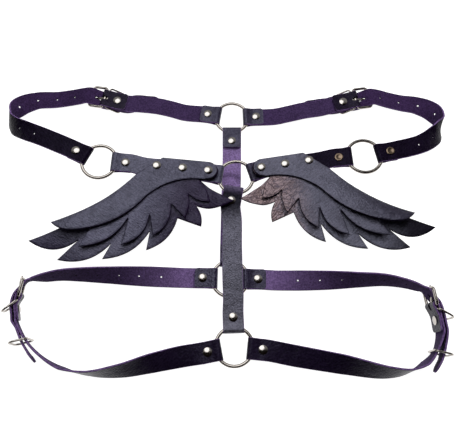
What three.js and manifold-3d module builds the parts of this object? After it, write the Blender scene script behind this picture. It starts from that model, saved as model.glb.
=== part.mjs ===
// Leather body harness with a pair of layered angel wings, lying on a table.
// Millimetres, +Z up. The chest loop lies towards +Y and the waist loop towards -Y.
// The front straps lie on the table with the wings and the back straps above them.
import * as THREE from 'three';
import { mergeVertices } from 'three/addons/utils/BufferGeometryUtils.js';
import Module from 'manifold-3d';

const wasm = await Module();
wasm.setup();

// Driving dimensions
const STRAP_WIDTH = 20;
const LEATHER = 1.8;
const FEATHER_LEATHER = 1.5;
const GAP = 0.3;
const RING_RADIUS = 17.75;
const RING_WIRE = 3.5;
const HOLE_RADIUS = 1.5;
const CAP_RADIUS = 3.9;
const CAP_HEIGHT = 1.9;
const CAP_SHOULDER = 0.72;
const BACK_CAP_RADIUS = 3.2;
const BACK_CAP_HEIGHT = 0.8;
const POST_RADIUS = 1.4;
const BUCKLE_WIRE = 3;
const BUCKLE_LENGTH = 16;
const BUCKLE_WIDTH = 23.8;
const BUCKLE_CORNER = 3;
const PRONG_WIDTH = 2.4;
const PRONG_THICK = 1.8;
const SLEEVE_RADIUS = BUCKLE_WIRE / 2 + 0.5;
const KEEPER_WIRE = 2;
const KEEPER_DEPTH = 16.6;
const KEEPER_WIDTH = 24;
const KEEPER_CORNER = 3;
const WAIST_KEEPER_CORNER = 5.5;

// How a strap end folds round a wire and is riveted
const FOLD_CLEARANCE = 0.7;
const RING_FOLD_SLACK = 3.55;
const HEEL_FOLD_SLACK = 0.3;
const FOLD_NECK = -0.8;
const CLAMP_HALF = CAP_RADIUS + 0.6;
const RIVET_BACK = 9;
const FLAP_LENGTH = 17;
const HEEL_RIVET_BACK = 14.5;
const HEEL_FLAP_LENGTH = 25;
const BEND_STEP = 0.5;
const LAYER_PITCH = LEATHER + GAP;

// Mesh fineness
const SWEEP_STEP = 24;
const SWEEP_TWIST = 0.7;
const WIRE_SIDES = 5;
const RING_STEPS = 16;
const CORNER_STEPS = 2;
const RIVET_SIDES = 7;
const HOLE_SIDES = 6;
const FEATHER_CURVE_STEPS = 3;
const FEATHER_CELL = 40;
const INNER_FEATHER_CELL = 20;

const UP = new THREE.Vector3(0, 0, 1);
const DEGREE = Math.PI / 180;

const LOOK = {
  leather: { color: 0x1d1826, roughness: 0.5, metalness: 0 },
  feather: { color: 0x2a2832, roughness: 0.6, metalness: 0 },
  metal: { color: 0xc9c4bb, roughness: 0.25, metalness: 1 },
};

const harness = new THREE.Group();

function addPiece(name, geometry, look) {
  const piece = new THREE.Mesh(geometry, new THREE.MeshStandardMaterial(LOOK[look]));
  piece.name = name;
  harness.add(piece);
}

// A local frame: x runs along the strap, y across it and z off its face
function frameAlong(origin, along, face) {
  const x = along.clone().normalize();
  const y = face.clone().cross(x).normalize();
  const z = x.clone().cross(y);
  return new THREE.Matrix4().makeBasis(x, y, z).setPosition(origin);
}

function at(frame, along, across, off) {
  return new THREE.Vector3(along, across, off).applyMatrix4(frame);
}

function axisOf(frame, index) {
  return new THREE.Vector3().setFromMatrixColumn(frame, index);
}

// Solids for cutting and joining
function solidOf(geometry) {
  const bare = geometry.clone();
  bare.deleteAttribute('normal');
  bare.deleteAttribute('uv');
  const merged = mergeVertices(bare, 1e-4);
  return new wasm.Manifold(new wasm.Mesh({
    numProp: 3,
    vertProperties: new Float32Array(merged.attributes.position.array),
    triVerts: new Uint32Array(merged.index.array),
  }));
}

function geometryOf(solid) {
  const mesh = solid.getMesh();
  const geometry = new THREE.BufferGeometry();
  geometry.setAttribute('position', new THREE.BufferAttribute(new Float32Array(mesh.vertProperties), 3));
  geometry.setIndex([...mesh.triVerts]);
  return geometry;
}

function cut(geometry, cutters) {
  let solid = solidOf(geometry);
  for (const cutter of cutters) {
    solid = solid.subtract(solidOf(cutter));
  }
  return geometryOf(solid);
}

function holeCutter(frame, radius, depth) {
  const cylinder = new THREE.CylinderGeometry(radius, radius, 2 * depth, HOLE_SIDES);
  return cylinder.rotateX(Math.PI / 2).applyMatrix4(frame);
}

function boxCutter(frame, from, to) {
  const size = to.clone().sub(from);
  const box = new THREE.BoxGeometry(size.x, size.y, size.z);
  const middle = from.clone().add(to).multiplyScalar(0.5);
  return box.translate(middle.x, middle.y, middle.z).applyMatrix4(frame);
}

// Ribbons: straps and prongs with a rectangular section
function ribbonSections(points) {
  let last = points[0].across;
  for (const point of points) {
    if (point.across.dot(last) < 0) {
      point.across = point.across.clone().negate();
    }
    last = point.across;
  }
  const curve = new THREE.CatmullRomCurve3(points.map((point) => point.p), false, 'centripetal');
  const spans = points.length - 1;
  const sections = [];
  for (let i = 0; i < spans; i += 1) {
    const [a, b] = [points[i], points[i + 1]];
    const twist = a.across.angleTo(b.across) / SWEEP_TWIST;
    const steps = Math.max(1, Math.round(a.p.distanceTo(b.p) / SWEEP_STEP), Math.round(twist));
    const end = i === spans - 1 ? steps : steps - 1;
    for (let k = 0; k <= end; k += 1) {
      const f = k / steps;
      const along = curve.getTangent((i + f) / spans);
      const across = a.across.clone().lerp(b.across, f);
      across.addScaledVector(along, -across.dot(along)).normalize();
      sections.push({
        p: curve.getPoint((i + f) / spans),
        along,
        across,
        off: along.clone().cross(across),
        half: THREE.MathUtils.lerp(a.half, b.half, f),
      });
    }
  }
  return sections;
}

function ribbon(sections, thick) {
  const corners = [[1, 1], [-1, 1], [-1, -1], [1, -1]];
  const positions = [];
  for (const { p, across, off, half } of sections) {
    for (const [a, b] of corners) {
      const corner = p.clone().addScaledVector(across, a * half).addScaledVector(off, b * thick / 2);
      positions.push(...corner.toArray());
    }
  }
  const index = [0, 3, 2, 0, 2, 1];
  for (let i = 0; i + 1 < sections.length; i += 1) {
    for (let k = 0; k < 4; k += 1) {
      const [a, b] = [4 * i + k, 4 * i + (k + 1) % 4];
      if (k < 2) {
        index.push(a, b, b + 4, a, b + 4, a + 4);
      } else {
        index.push(a, b, a + 4, b, b + 4, a + 4);
      }
    }
  }
  const e = 4 * (sections.length - 1);
  index.push(e, e + 1, e + 2, e, e + 2, e + 3);
  const geometry = new THREE.BufferGeometry();
  geometry.setAttribute('position', new THREE.Float32BufferAttribute(positions, 3));
  geometry.setIndex(index);
  return geometry;
}

// The frame on a ribbon's face at a distance from its start
function frameAtDistance(sections, distance) {
  let left = distance;
  for (let i = 0; i + 1 < sections.length; i += 1) {
    const span = sections[i].p.distanceTo(sections[i + 1].p);
    if (left <= span) {
      const p = sections[i].p.clone().lerp(sections[i + 1].p, left / span);
      return new THREE.Matrix4().makeBasis(sections[i].along, sections[i].across, sections[i].off).setPosition(p);
    }
    left -= span;
  }
  throw new Error('distance past the end of the ribbon');
}

// Wire loops: rings, keepers and buckle frames lie in the x-y plane of their frame
function wireLoop(frame, path, wire) {
  const positions = [];
  const count = path.length;
  for (let i = 0; i < count; i += 1) {
    const ahead = path[(i + 1) % count].clone().sub(path[(i + count - 1) % count]).normalize();
    for (let k = 0; k < WIRE_SIDES; k += 1) {
      const turn = 2 * Math.PI * (k + 0.5) / WIRE_SIDES;
      const out = Math.cos(turn) * wire / 2;
      positions.push(...at(frame, path[i].x + ahead.y * out, path[i].y - ahead.x * out,
        Math.sin(turn) * wire / 2).toArray());
    }
  }
  const index = [];
  for (let i = 0; i < count; i += 1) {
    for (let k = 0; k < WIRE_SIDES; k += 1) {
      const a = WIRE_SIDES * i + k;
      const b = WIRE_SIDES * i + (k + 1) % WIRE_SIDES;
      const c = WIRE_SIDES * ((i + 1) % count) + (k + 1) % WIRE_SIDES;
      const d = WIRE_SIDES * ((i + 1) % count) + k;
      index.push(a, c, b, a, d, c);
    }
  }
  const geometry = new THREE.BufferGeometry();
  geometry.setAttribute('position', new THREE.Float32BufferAttribute(positions, 3));
  geometry.setIndex(index);
  return geometry;
}

function circlePath(radius, steps) {
  return Array.from({ length: steps }, (unused, i) => {
    const turn = 2 * Math.PI * i / steps;
    return new THREE.Vector2(radius * Math.cos(turn), radius * Math.sin(turn));
  });
}

// A rounded rectangle from x = 0 to x = length, centred on y = 0, with its own corners at the far end
function roundedPath(length, width, corner, farCorner) {
  const path = [];
  const corners = [[length - farCorner, width / 2 - farCorner, farCorner], [corner, width / 2 - corner, corner],
    [corner, corner - width / 2, corner], [length - farCorner, farCorner - width / 2, farCorner]];
  corners.forEach(([x, y, radius], quarter) => {
    for (let k = 0; k <= CORNER_STEPS; k += 1) {
      const turn = (quarter + k / CORNER_STEPS) * Math.PI / 2;
      path.push(new THREE.Vector2(x + radius * Math.cos(turn), y + radius * Math.sin(turn)));
    }
  });
  return path;
}

// Rivets: domed cap above, flat cap below, both clear of the leather that they clamp
function addRivet(name, frame, above, below) {
  const top = above + GAP;
  const bottom = -below - GAP;
  const profile = [
    [0, bottom - BACK_CAP_HEIGHT], [BACK_CAP_RADIUS, bottom - BACK_CAP_HEIGHT], [BACK_CAP_RADIUS, bottom],
    [POST_RADIUS, bottom], [POST_RADIUS, top], [CAP_RADIUS, top],
    [CAP_SHOULDER * CAP_RADIUS, top + CAP_SHOULDER * CAP_HEIGHT], [0, top + CAP_HEIGHT],
  ];
  const lathe = new THREE.LatheGeometry(profile.map(([r, z]) => new THREE.Vector2(r, z)), RIVET_SIDES);
  addPiece(name, geometryOf(solidOf(lathe.rotateX(Math.PI / 2).applyMatrix4(frame))), 'metal');
}

// Rings: middle of each ring
const RINGS = {
  front_chest: { x: 2, y: 114, z: 4.3 },
  centre_back: { x: 6, y: 38, z: 16.5 },
  side_left: { x: -133, y: 51, z: 26.7 },
  side_right: { x: 137, y: 57, z: 26.7 },
  waist_front: { x: 0, y: -65, z: 4.3 },
  waist_back: { x: 4, y: -130, z: 8 },
};

function addRings() {
  for (const [name, { x, y, z }] of Object.entries(RINGS)) {
    const frame = new THREE.Matrix4().makeTranslation(x, y, z);
    addPiece(`ring_${name}`, wireLoop(frame, circlePath(RING_RADIUS, RING_STEPS), RING_WIRE), 'metal');
  }
}

// One end of a strap folded round a wire. place gives a point from the distances along and off the face,
// where the wire is at 0 and the strap runs to minus along. main and flap are the heights of the two layers
// at the rivet, side is 1 for a flap above and -1 below.
function foldedEnd(place, across, fold) {
  const { wire, slack, necks = [], leads = [], rivetBack, flapLength, main, flap, side } = fold;
  const radius = wire / 2 + FOLD_CLEARANCE + LEATHER / 2;
  const clampEnd = -rivetBack + CLAMP_HALF;
  const clampStart = -rivetBack - CLAMP_HALF;
  const rows = [...leads.map((s) => [s, main]), [clampStart, main], [clampEnd, main]];
  rows.push(...necks.map((s) => [s, -radius]));
  for (let turn = -90; turn <= 90; turn += 60) {
    rows.push([slack + radius * Math.cos(turn * DEGREE), radius * Math.sin(turn * DEGREE)]);
  }
  rows.push(...necks.map((s) => [s, radius]), [clampEnd, flap], [clampStart, flap]);
  rows.push([-flapLength, flap]);
  const points = rows.map(([s, h]) => ({ p: place(s, side * h), across, half: STRAP_WIDTH / 2 }));
  const middle = side * (main + flap) / 2;
  const [front, back] = [place(clampEnd, middle), place(clampStart, middle)];
  const ahead = front.clone().sub(back);
  const rivetFrame = frameAlong(front.lerp(back, 0.5), ahead, ahead.clone().cross(across));
  const grip = (Math.abs(flap - main) + LEATHER) / 2;
  return { points, rivetFrame, grip };
}

// A strap end on a ring, seen from the ring: bearing in plan and climb away from it, in degrees
function ringEnd(ring, { bearing, climb = 0, side, rivetBack = RIVET_BACK, slack = RING_FOLD_SLACK }) {
  const away = new THREE.Vector3(Math.cos(bearing * DEGREE), Math.sin(bearing * DEGREE), 0);
  const { x, y, z } = RINGS[ring];
  const wirePoint = new THREE.Vector3(x, y, z).addScaledVector(away, RING_RADIUS);
  away.z = Math.tan(climb * DEGREE);
  const frame = frameAlong(wirePoint, away.negate(), UP);
  return foldedEnd((s, h) => at(frame, s, 0, h), axisOf(frame, 1), {
    wire: RING_WIRE,
    slack,
    necks: [FOLD_NECK],
    rivetBack,
    flapLength: Math.max(FLAP_LENGTH, rivetBack + 2 * CAP_RADIUS),
    main: -LAYER_PITCH / 2,
    flap: LAYER_PITCH / 2,
    side,
  });
}

// Rows of a strap's middle line: x, y, z, then heading and lean of its width in degrees
function stations(rows) {
  return rows.map(([x, y, z, heading, lean = 0, half = STRAP_WIDTH / 2]) => ({
    p: new THREE.Vector3(x, y, z),
    across: new THREE.Vector3(
      Math.cos(heading * DEGREE) * Math.cos(lean * DEGREE),
      Math.sin(heading * DEGREE) * Math.cos(lean * DEGREE),
      Math.sin(lean * DEGREE),
    ),
    half,
  }));
}

// The rounded tip of a free end, from the last point back along the strap
function roundTip(points, before) {
  const end = points[points.length - 1];
  const back = before.p.clone().sub(end.p).normalize();
  const tip = [[7, 1], [3, 0.82], [1, 0.55], [0, 0.3]];
  points.pop();
  for (const [distance, share] of tip) {
    const p = end.p.clone().addScaledVector(back, distance);
    points.push({ p, across: end.across, half: end.half * share });
  }
}

function holesAlong(sections, first, pitch, count) {
  return Array.from({ length: count }, (unused, k) =>
    holeCutter(frameAtDistance(sections, first + k * pitch), HOLE_RADIUS, LEATHER));
}

function rivetHole(end) {
  return holeCutter(end.rivetFrame, POST_RADIUS + GAP, end.grip + 1);
}

// Buckles: heel bar at x = 0 and front bar at x = BUCKLE_LENGTH of the frame.
// Off the strap's face, the free strap lies at 0 under the fixed strap's end.
const HEEL_RADIUS = BUCKLE_WIRE / 2 + FOLD_CLEARANCE + LEATHER / 2;
const HEEL_OFF = LAYER_PITCH + HEEL_RADIUS;
const FRONT_OFF = PRONG_THICK / 2 + GAP + BUCKLE_WIRE / 2;
const OVER_FRONT_OFF = FRONT_OFF + BUCKLE_WIRE / 2 + 2 * GAP + LEATHER / 2;
const HEEL_MAIN_OFF = LEATHER + 2 * GAP + BACK_CAP_HEIGHT;

// Middle of the free strap under the heel bar, plan heading of the frame and the direction of its face.
// Between bendFrom and the rivet both straps curve towards that face, and lead is where the free strap
// comes from.
const BUCKLES = {
  chest_left: {
    x: -138.6, y: 135.8, z: 3.4, heading: 168, face: [0, 0, 1], bendFrom: 0, bend: 0, lead: [20, 5.2],
  },
  chest_right: {
    x: 139, y: 134.3, z: 3.4, heading: 11.5, face: [0, 0, 1], bendFrom: 0, bend: 0, lead: [20, 5.2],
  },
  waist_left: {
    x: -205.4, y: -82.7, z: 15.4, heading: 75, face: [0.92, -0.25, -0.31], bendFrom: -6.2, bend: 0.11,
    lead: [18, 8.5],
  },
  waist_right: {
    x: 197, y: -91.8, z: 13.5, heading: 103.5, face: [-0.97, -0.23, 0], bendFrom: -6, bend: 0.04,
    lead: [18, 8.5],
  },
};

function buckleFrame(name) {
  const { x, y, z, heading, face } = BUCKLES[name];
  const along = new THREE.Vector3(Math.cos(heading * DEGREE), Math.sin(heading * DEGREE), 0);
  return frameAlong(new THREE.Vector3(x, y, z), along, new THREE.Vector3(...face));
}

// A point of the straps at a buckle, from the distances along and off the face
function buckleStrapPoint(name, along, off) {
  const frame = buckleFrame(name);
  const { bendFrom, bend } = BUCKLES[name];
  const spot = new THREE.Vector2(Math.max(along, bendFrom), 0);
  let turn = 0;
  for (let s = bendFrom; s > along; s -= BEND_STEP) {
    const free = s > CLAMP_HALF - HEEL_RIVET_BACK;
    turn += free ? bend * BEND_STEP : 0;
    spot.x -= Math.cos(turn) * BEND_STEP;
    spot.y += Math.sin(turn) * BEND_STEP;
  }
  return at(frame, spot.x + off * Math.sin(turn), 0, spot.y + off * Math.cos(turn));
}

function heelEnd(name) {
  const place = (s, h) => buckleStrapPoint(name, s, HEEL_OFF + h);
  return foldedEnd(place, axisOf(buckleFrame(name), 1), {
    wire: BUCKLE_WIRE,
    slack: HEEL_FOLD_SLACK,
    leads: [-HEEL_FLAP_LENGTH],
    rivetBack: HEEL_RIVET_BACK,
    flapLength: HEEL_FLAP_LENGTH,
    main: HEEL_MAIN_OFF - HEEL_OFF,
    flap: HEEL_MAIN_OFF - HEEL_OFF + LAYER_PITCH,
    side: 1,
  });
}

// The slot in a folded end that lets the prong reach the heel bar
function prongSlot(name) {
  const half = PRONG_WIDTH / 2 + 1;
  return boxCutter(buckleFrame(name), new THREE.Vector3(-4, -half, LAYER_PITCH - LEATHER),
    new THREE.Vector3(8, half, HEEL_OFF + HEEL_RADIUS + LEATHER));
}

// The stretched hole in the free strap that the prong goes through
function prongHole(name) {
  const half = PRONG_WIDTH / 2 + GAP;
  return boxCutter(buckleFrame(name), new THREE.Vector3(3.6, -half, -3), new THREE.Vector3(11.6, half, 8));
}

// The free strap from its lead over the front bar, down through the frame and along under the fixed strap
function throughBuckle(name) {
  const across = axisOf(buckleFrame(name), 1);
  const rows = [BUCKLES[name].lead, [BUCKLE_LENGTH, OVER_FRONT_OFF], [BUCKLE_LENGTH / 2 + 1, OVER_FRONT_OFF / 2],
    [1, 0], [CLAMP_HALF - HEEL_RIVET_BACK, 0], [-CLAMP_HALF - HEEL_RIVET_BACK, 0], [-HEEL_FLAP_LENGTH, 0]];
  return rows.map(([s, h]) => ({ p: buckleStrapPoint(name, s, h), across, half: STRAP_WIDTH / 2 }));
}

function addBuckle(name) {
  const frame = buckleFrame(name);
  const heel = at(frame, 0, 0, HEEL_OFF);
  const front = at(frame, BUCKLE_LENGTH, 0, FRONT_OFF);
  const loopFrame = frameAlong(heel, front.clone().sub(heel), axisOf(frame, 2));
  const length = front.distanceTo(heel);
  const path = roundedPath(length, BUCKLE_WIDTH, BUCKLE_CORNER, BUCKLE_CORNER);
  let solid = solidOf(wireLoop(loopFrame, path, BUCKLE_WIRE));
  const sleeve = new THREE.CylinderGeometry(SLEEVE_RADIUS, SLEEVE_RADIUS, PRONG_WIDTH, RIVET_SIDES);
  solid = solid.add(solidOf(sleeve.applyMatrix4(loopFrame)));
  const prongRows = [[0, HEEL_OFF - 0.6], [6, 3.4], [12, 0.6], [BUCKLE_LENGTH + 3, 0]];
  const prong = prongRows.map(([s, h]) => ({
    p: at(frame, s, 0, h),
    across: axisOf(frame, 1),
    half: PRONG_WIDTH / 2,
  }));
  solid = solid.add(solidOf(ribbon(ribbonSections(prong), PRONG_THICK)));
  addPiece(`buckle_${name}`, geometryOf(solid), 'metal');
}

// A keeper leans: its inner bar is at one point of a frame and it runs outward along a direction
function addKeeper(name, inner, outward, along, farCorner) {
  const width = along.clone().cross(outward);
  const frame = frameAlong(inner, outward, outward.clone().cross(width).negate());
  const path = roundedPath(KEEPER_DEPTH, KEEPER_WIDTH, KEEPER_CORNER, farCorner);
  addPiece(`keeper_${name}`, wireLoop(frame, path, KEEPER_WIRE), 'metal');
}

// The first keeper is caught in the fold of the fixed strap, with its outer bar under the free strap
const CAUGHT_ALONG = -3.4;
const CAUGHT_OFF = 5.1;

function addCaughtKeeper(name, buckle, outerOff, farCorner) {
  const frame = buckleFrame(buckle);
  const inner = at(frame, CAUGHT_ALONG, 0, CAUGHT_OFF);
  const drop = CAUGHT_OFF - outerOff;
  const outer = at(frame, CAUGHT_ALONG - Math.sqrt(KEEPER_DEPTH ** 2 - drop ** 2), 0, outerOff);
  addKeeper(name, inner, outer.sub(inner).normalize(), axisOf(frame, 0), farCorner);
}

// Chest loop
const CHEST_FRONT = {
  left: {
    bearing: 171,
    rows: [[-50, 122.3, 1, 90], [-64, 125.8, 2.2, 90], [-80, 129, 3.6, 90], [-100, 130.8, 4.6, 90]],
  },
  right: {
    bearing: 2,
    rows: [[50, 117.4, 1, 90], [65, 120.2, 2.2, 90], [81, 123.4, 3.6, 90], [101, 126.3, 4.6, 90]],
  },
};

function addChestFront(side) {
  const { bearing, rows } = CHEST_FRONT[side];
  const ring = ringEnd('front_chest', { bearing, side: 1 });
  const heel = heelEnd(`chest_${side}`);
  const sections = ribbonSections([...ring.points.toReversed(), ...stations(rows), ...heel.points]);
  const cutters = [rivetHole(ring), rivetHole(heel), prongSlot(`chest_${side}`)];
  addPiece(`chest_front_${side}`, cut(ribbon(sections, LEATHER), cutters), 'leather');
  addRivet(`rivet_chest_front_${side}`, ring.rivetFrame, ring.grip, ring.grip);
  addRivet(`rivet_chest_buckle_${side}`, heel.rivetFrame, heel.grip, heel.grip);
}

// From the buckle out to the end of the loop, over it and back to the side ring; tail runs from the tip
const CHEST_HOLE_PITCH = 21.3;
const CHEST_HOLES = 7;
const CHEST_SIDE = {
  left: {
    bearing: 154.4,
    firstHole: 98.8,
    tail: [[-78, 132.5, 0.95, 90], [-92, 133.5, 0.95, 90], [-104, 134, 1.8, 90]],
    rows: [[-166, 140.2, 6, 90], [-177, 139.9, 3.2, 90], [-194, 138.6, 1.2, 90], [-214.8, 136.9, 2.4, 107, 8],
      [-228, 127.6, 7.4, 141, 40], [-234.5, 111, 13, 186, 112], [-227, 98, 17.5, 229, 138],
      [-215, 89.5, 21.5, 243, 160], [-193.5, 79.3, 26, 241, 178]],
  },
  right: {
    bearing: 10.9,
    firstHole: 89.8,
    tail: [[81, 126.8, 0.95, 90], [94, 128.6, 0.95, 90], [105, 129.9, 1.8, 90]],
    rows: [[166, 138.2, 6, 90], [176, 137, 3.2, 90], [192, 134.2, 1.2, 90], [208, 130.6, 2.4, 73, 8],
      [221.5, 120, 7.4, 39, 40], [227, 104, 13, -3, 88], [222, 92.5, 17.5, -40, 130],
      [214, 83, 21, -52, 160], [197.5, 71.8, 25.5, -59, 178]],
  },
};

function addChestSide(side) {
  const { bearing, firstHole, tail, rows } = CHEST_SIDE[side];
  const ring = ringEnd(`side_${side}`, { bearing, side: -1, rivetBack: 9.5 });
  const end = stations(tail).toReversed();
  roundTip(end, end[end.length - 2]);
  const tip = end.toReversed();
  const points = [...tip, ...throughBuckle(`chest_${side}`).toReversed(), ...stations(rows), ...ring.points];
  const sections = ribbonSections(points);
  const cutters = [rivetHole(ring), prongHole(`chest_${side}`),
    ...holesAlong(sections, firstHole, CHEST_HOLE_PITCH, CHEST_HOLES)];
  addPiece(`chest_side_${side}`, cut(ribbon(sections, LEATHER), cutters), 'leather');
  addRivet(`rivet_chest_side_${side}`, ring.rivetFrame, ring.grip, ring.grip);
}

// Wings: u runs outward from the innermost rivet along the strap, v runs towards the feather tips,
// and length stretches the wing along the strap
const WINGS = {
  left: {
    x: -22.4, y: 42.6, length: 1, droop: 0.125, outX: -0.9983, outY: 0.058, skew: 0.105,
    bearing: 170.7, back: 11, sideBearing: 0, sideBack: 9.25,
  },
  right: {
    x: 32.6, y: 45.9, length: 0.93, droop: 0.025, outX: 0.9936, outY: 0.1125, skew: 0.2,
    bearing: 17.8, back: 10, sideBearing: 180, sideBack: 8.25,
  },
};
const WING_ROOT_Z = 18.8;
const WING_RISE = 0.098;
const WING_CLIMB = Math.atan(WING_RISE) / DEGREE;
const WING_CURL = 0.3;
const CURL_FROM = -CLAMP_HALF;
const CURL_REACH = 10;
const ROOT_HALF = 9.3;
const ROOT_BELOW = STRAP_WIDTH / 2 + 0.6;
const WING_RIVETS = [0, 26, 52];
const LAYER_STEP = FEATHER_LEATHER + GAP;
const INNER_FEATHERS = 22;

function wingPoint(side, u, v, lift) {
  const { x, y, length, outX, outY, skew, droop } = WINGS[side];
  const inward = Math.sign(outX) * outY;
  const drop = droop * THREE.MathUtils.smoothstep(u, -35, 30) * Math.max(0, v - ROOT_BELOW);
  const inside = THREE.MathUtils.clamp(CURL_FROM - u + skew * Math.min(v, ROOT_BELOW), 0, CURL_REACH);
  const rise = WING_RISE * u + (WING_RISE + WING_CURL) * inside;
  return new THREE.Vector3(
    x + outX * length * u + inward * v,
    y + outY * length * u - Math.abs(outX) * v,
    WING_ROOT_Z + rise - drop + lift,
  );
}

// Each layer: order above the strap, how it fans up, its round inner end, where its root ends outside at
// the top and bottom, and its edge from the inner end outward as rows of end point u, v and bow
const WING_LAYERS = {
  bottom: {
    order: 0, fan: 0, roundU: -1, outerTop: 45.5, outerBottom: 68.5, start: 7,
    edge: [[-28, 30, -2], [9, 37.5, 5], [3, 58, 2.5], [27, 51, 0], [55, 85, 6], [53, 66, 0],
      [96, 97, 7], [89, 81, 0], [138, 101, 8], [120, 80, 0], [167, 85, 9], [92, 36, -3], [68.5, ROOT_BELOW, 0]],
  },
  middle: {
    order: 1, fan: 0.055, roundU: -0.5, outerTop: 46, outerBottom: 69, start: 8,
    edge: [[-4, 33, 2], [18, 26.5, 2.5], [19.5, 51.5, 2.5], [34, 38, 0], [49, 72, 6], [54, 50, 0],
      [78, 83, 7], [74, 55, 0], [118, 88, 8], [108, 66, 0], [80, 32, -3], [69, ROOT_BELOW, 0]],
  },
  blade: {
    order: 2, fan: 0.1, roundU: 0, outerTop: 46.5, outerBottom: 70, start: 3,
    edge: [[59, 34, -7], [128, 74, 9], [146, 67, 2], [70, ROOT_BELOW, -6]],
  },
};

// A curve from one point of an edge to the next, bowed outwards
function bowTo(shape, u, v, bow) {
  const from = shape.currentPoint.clone();
  if (bow === 0) {
    shape.lineTo(u, v);
    return;
  }
  const span = Math.hypot(u - from.x, v - from.y);
  const side = 2 * bow / span;
  const controlU = (from.x + u) / 2 - side * (v - from.y);
  const controlV = (from.y + v) / 2 + side * (u - from.x);
  shape.quadraticCurveTo(controlU, controlV, u, v);
}

// The round inner end, the band along the strap and the feathers, which meet along straight creases
function layerOutlines(side, { roundU, outerTop, outerBottom, start, edge }) {
  const { skew } = WINGS[side];
  const turn = Math.acos((CURL_FROM - roundU) / ROOT_HALF / Math.hypot(1, skew));
  const lower = turn - Math.atan(skew);
  const upper = 2 * Math.PI - turn - Math.atan(skew);
  const end = new THREE.Shape();
  end.absarc(roundU, 0, ROOT_HALF, lower, upper, false);
  const band = new THREE.Shape();
  band.moveTo(outerTop, -ROOT_HALF);
  band.absarc(roundU, 0, ROOT_HALF, 1.5 * Math.PI, upper, true);
  band.absarc(roundU, 0, ROOT_HALF, lower, Math.PI / 2, true);
  band.lineTo(start, ROOT_BELOW);
  band.lineTo(outerBottom, ROOT_BELOW);
  const feathers = new THREE.Shape();
  feathers.moveTo(start, ROOT_BELOW);
  edge.forEach(([u, v, bow]) => bowTo(feathers, u, v, bow));
  return [end, band, feathers];
}

function cellBetween(p, q) {
  return (p.x + q.x) / 2 < INNER_FEATHERS ? INNER_FEATHER_CELL : FEATHER_CELL;
}

// Points and triangles of flat outlines, with every edge split until it is shorter than a cell
function triangulate(outlines) {
  const points = [];
  const known = new Map();
  const pointIndex = (q) => {
    const key = `${q.x.toFixed(3)},${q.y.toFixed(3)}`;
    if (!known.has(key)) {
      known.set(key, points.push(q.clone()) - 1);
    }
    return known.get(key);
  };
  let triangles = [];
  for (const outline of outlines) {
    const contour = outline.getPoints(FEATHER_CURVE_STEPS);
    if (contour[0].distanceTo(contour[contour.length - 1]) < 1e-6) {
      contour.pop();
    }
    const faces = THREE.ShapeUtils.triangulateShape(contour, []);
    triangles.push(...faces.map((face) => face.map((i) => pointIndex(contour[i]))));
  }
  let split = true;
  while (split) {
    split = false;
    const finer = [];
    for (const [a, b, c] of triangles) {
      const sides = [[a, b, c], [b, c, a], [c, a, b]];
      const cells = sides.map(([p, q]) => points[p].distanceTo(points[q]) / cellBetween(points[p], points[q]));
      const longest = cells.indexOf(Math.max(...cells));
      const [p, q, r] = sides[longest];
      if (cells[longest] > 1) {
        const m = pointIndex(points[p].clone().lerp(points[q], 0.5));
        finer.push([p, m, r], [m, q, r]);
        split = true;
      } else {
        finer.push([a, b, c]);
      }
    }
    triangles = finer;
  }
  return { points, triangles };
}

// One leather layer of a wing, lifted off the strap and fanned up towards the tips
function layerSheet(side, layer) {
  const { points, triangles } = triangulate(layerOutlines(side, layer));
  const middle = LEATHER / 2 + GAP + FEATHER_LEATHER / 2 + layer.order * LAYER_STEP;
  const positions = [];
  for (const off of [FEATHER_LEATHER / 2, -FEATHER_LEATHER / 2]) {
    for (const q of points) {
      const lift = middle + off + layer.fan * Math.max(0, q.y - ROOT_BELOW);
      positions.push(...wingPoint(side, q.x, q.y, lift).toArray());
    }
  }
  const facing = -Math.sign(WINGS[side].outX);
  const faces = triangles.map(([a, b, c]) => {
    const area = points[b].clone().sub(points[a]).cross(points[c].clone().sub(points[a]));
    return area * facing > 0 ? [a, b, c] : [a, c, b];
  });
  const edges = new Set();
  faces.forEach(([a, b, c]) => edges.add(`${a},${b}`).add(`${b},${c}`).add(`${c},${a}`));
  const under = points.length;
  const index = [];
  for (const [a, b, c] of faces) {
    index.push(a, b, c, a + under, c + under, b + under);
    for (const [p, q] of [[a, b], [b, c], [c, a]]) {
      if (!edges.has(`${q},${p}`)) {
        index.push(q, p, p + under, q, p + under, q + under);
      }
    }
  }
  const geometry = new THREE.BufferGeometry();
  geometry.setAttribute('position', new THREE.Float32BufferAttribute(positions, 3));
  geometry.setIndex(index);
  return geometry;
}

function wingRivetFrame(side, u) {
  const { outX, outY } = WINGS[side];
  return frameAlong(wingPoint(side, u, 0, 0), new THREE.Vector3(outX, outY, WING_RISE), UP);
}

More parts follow.
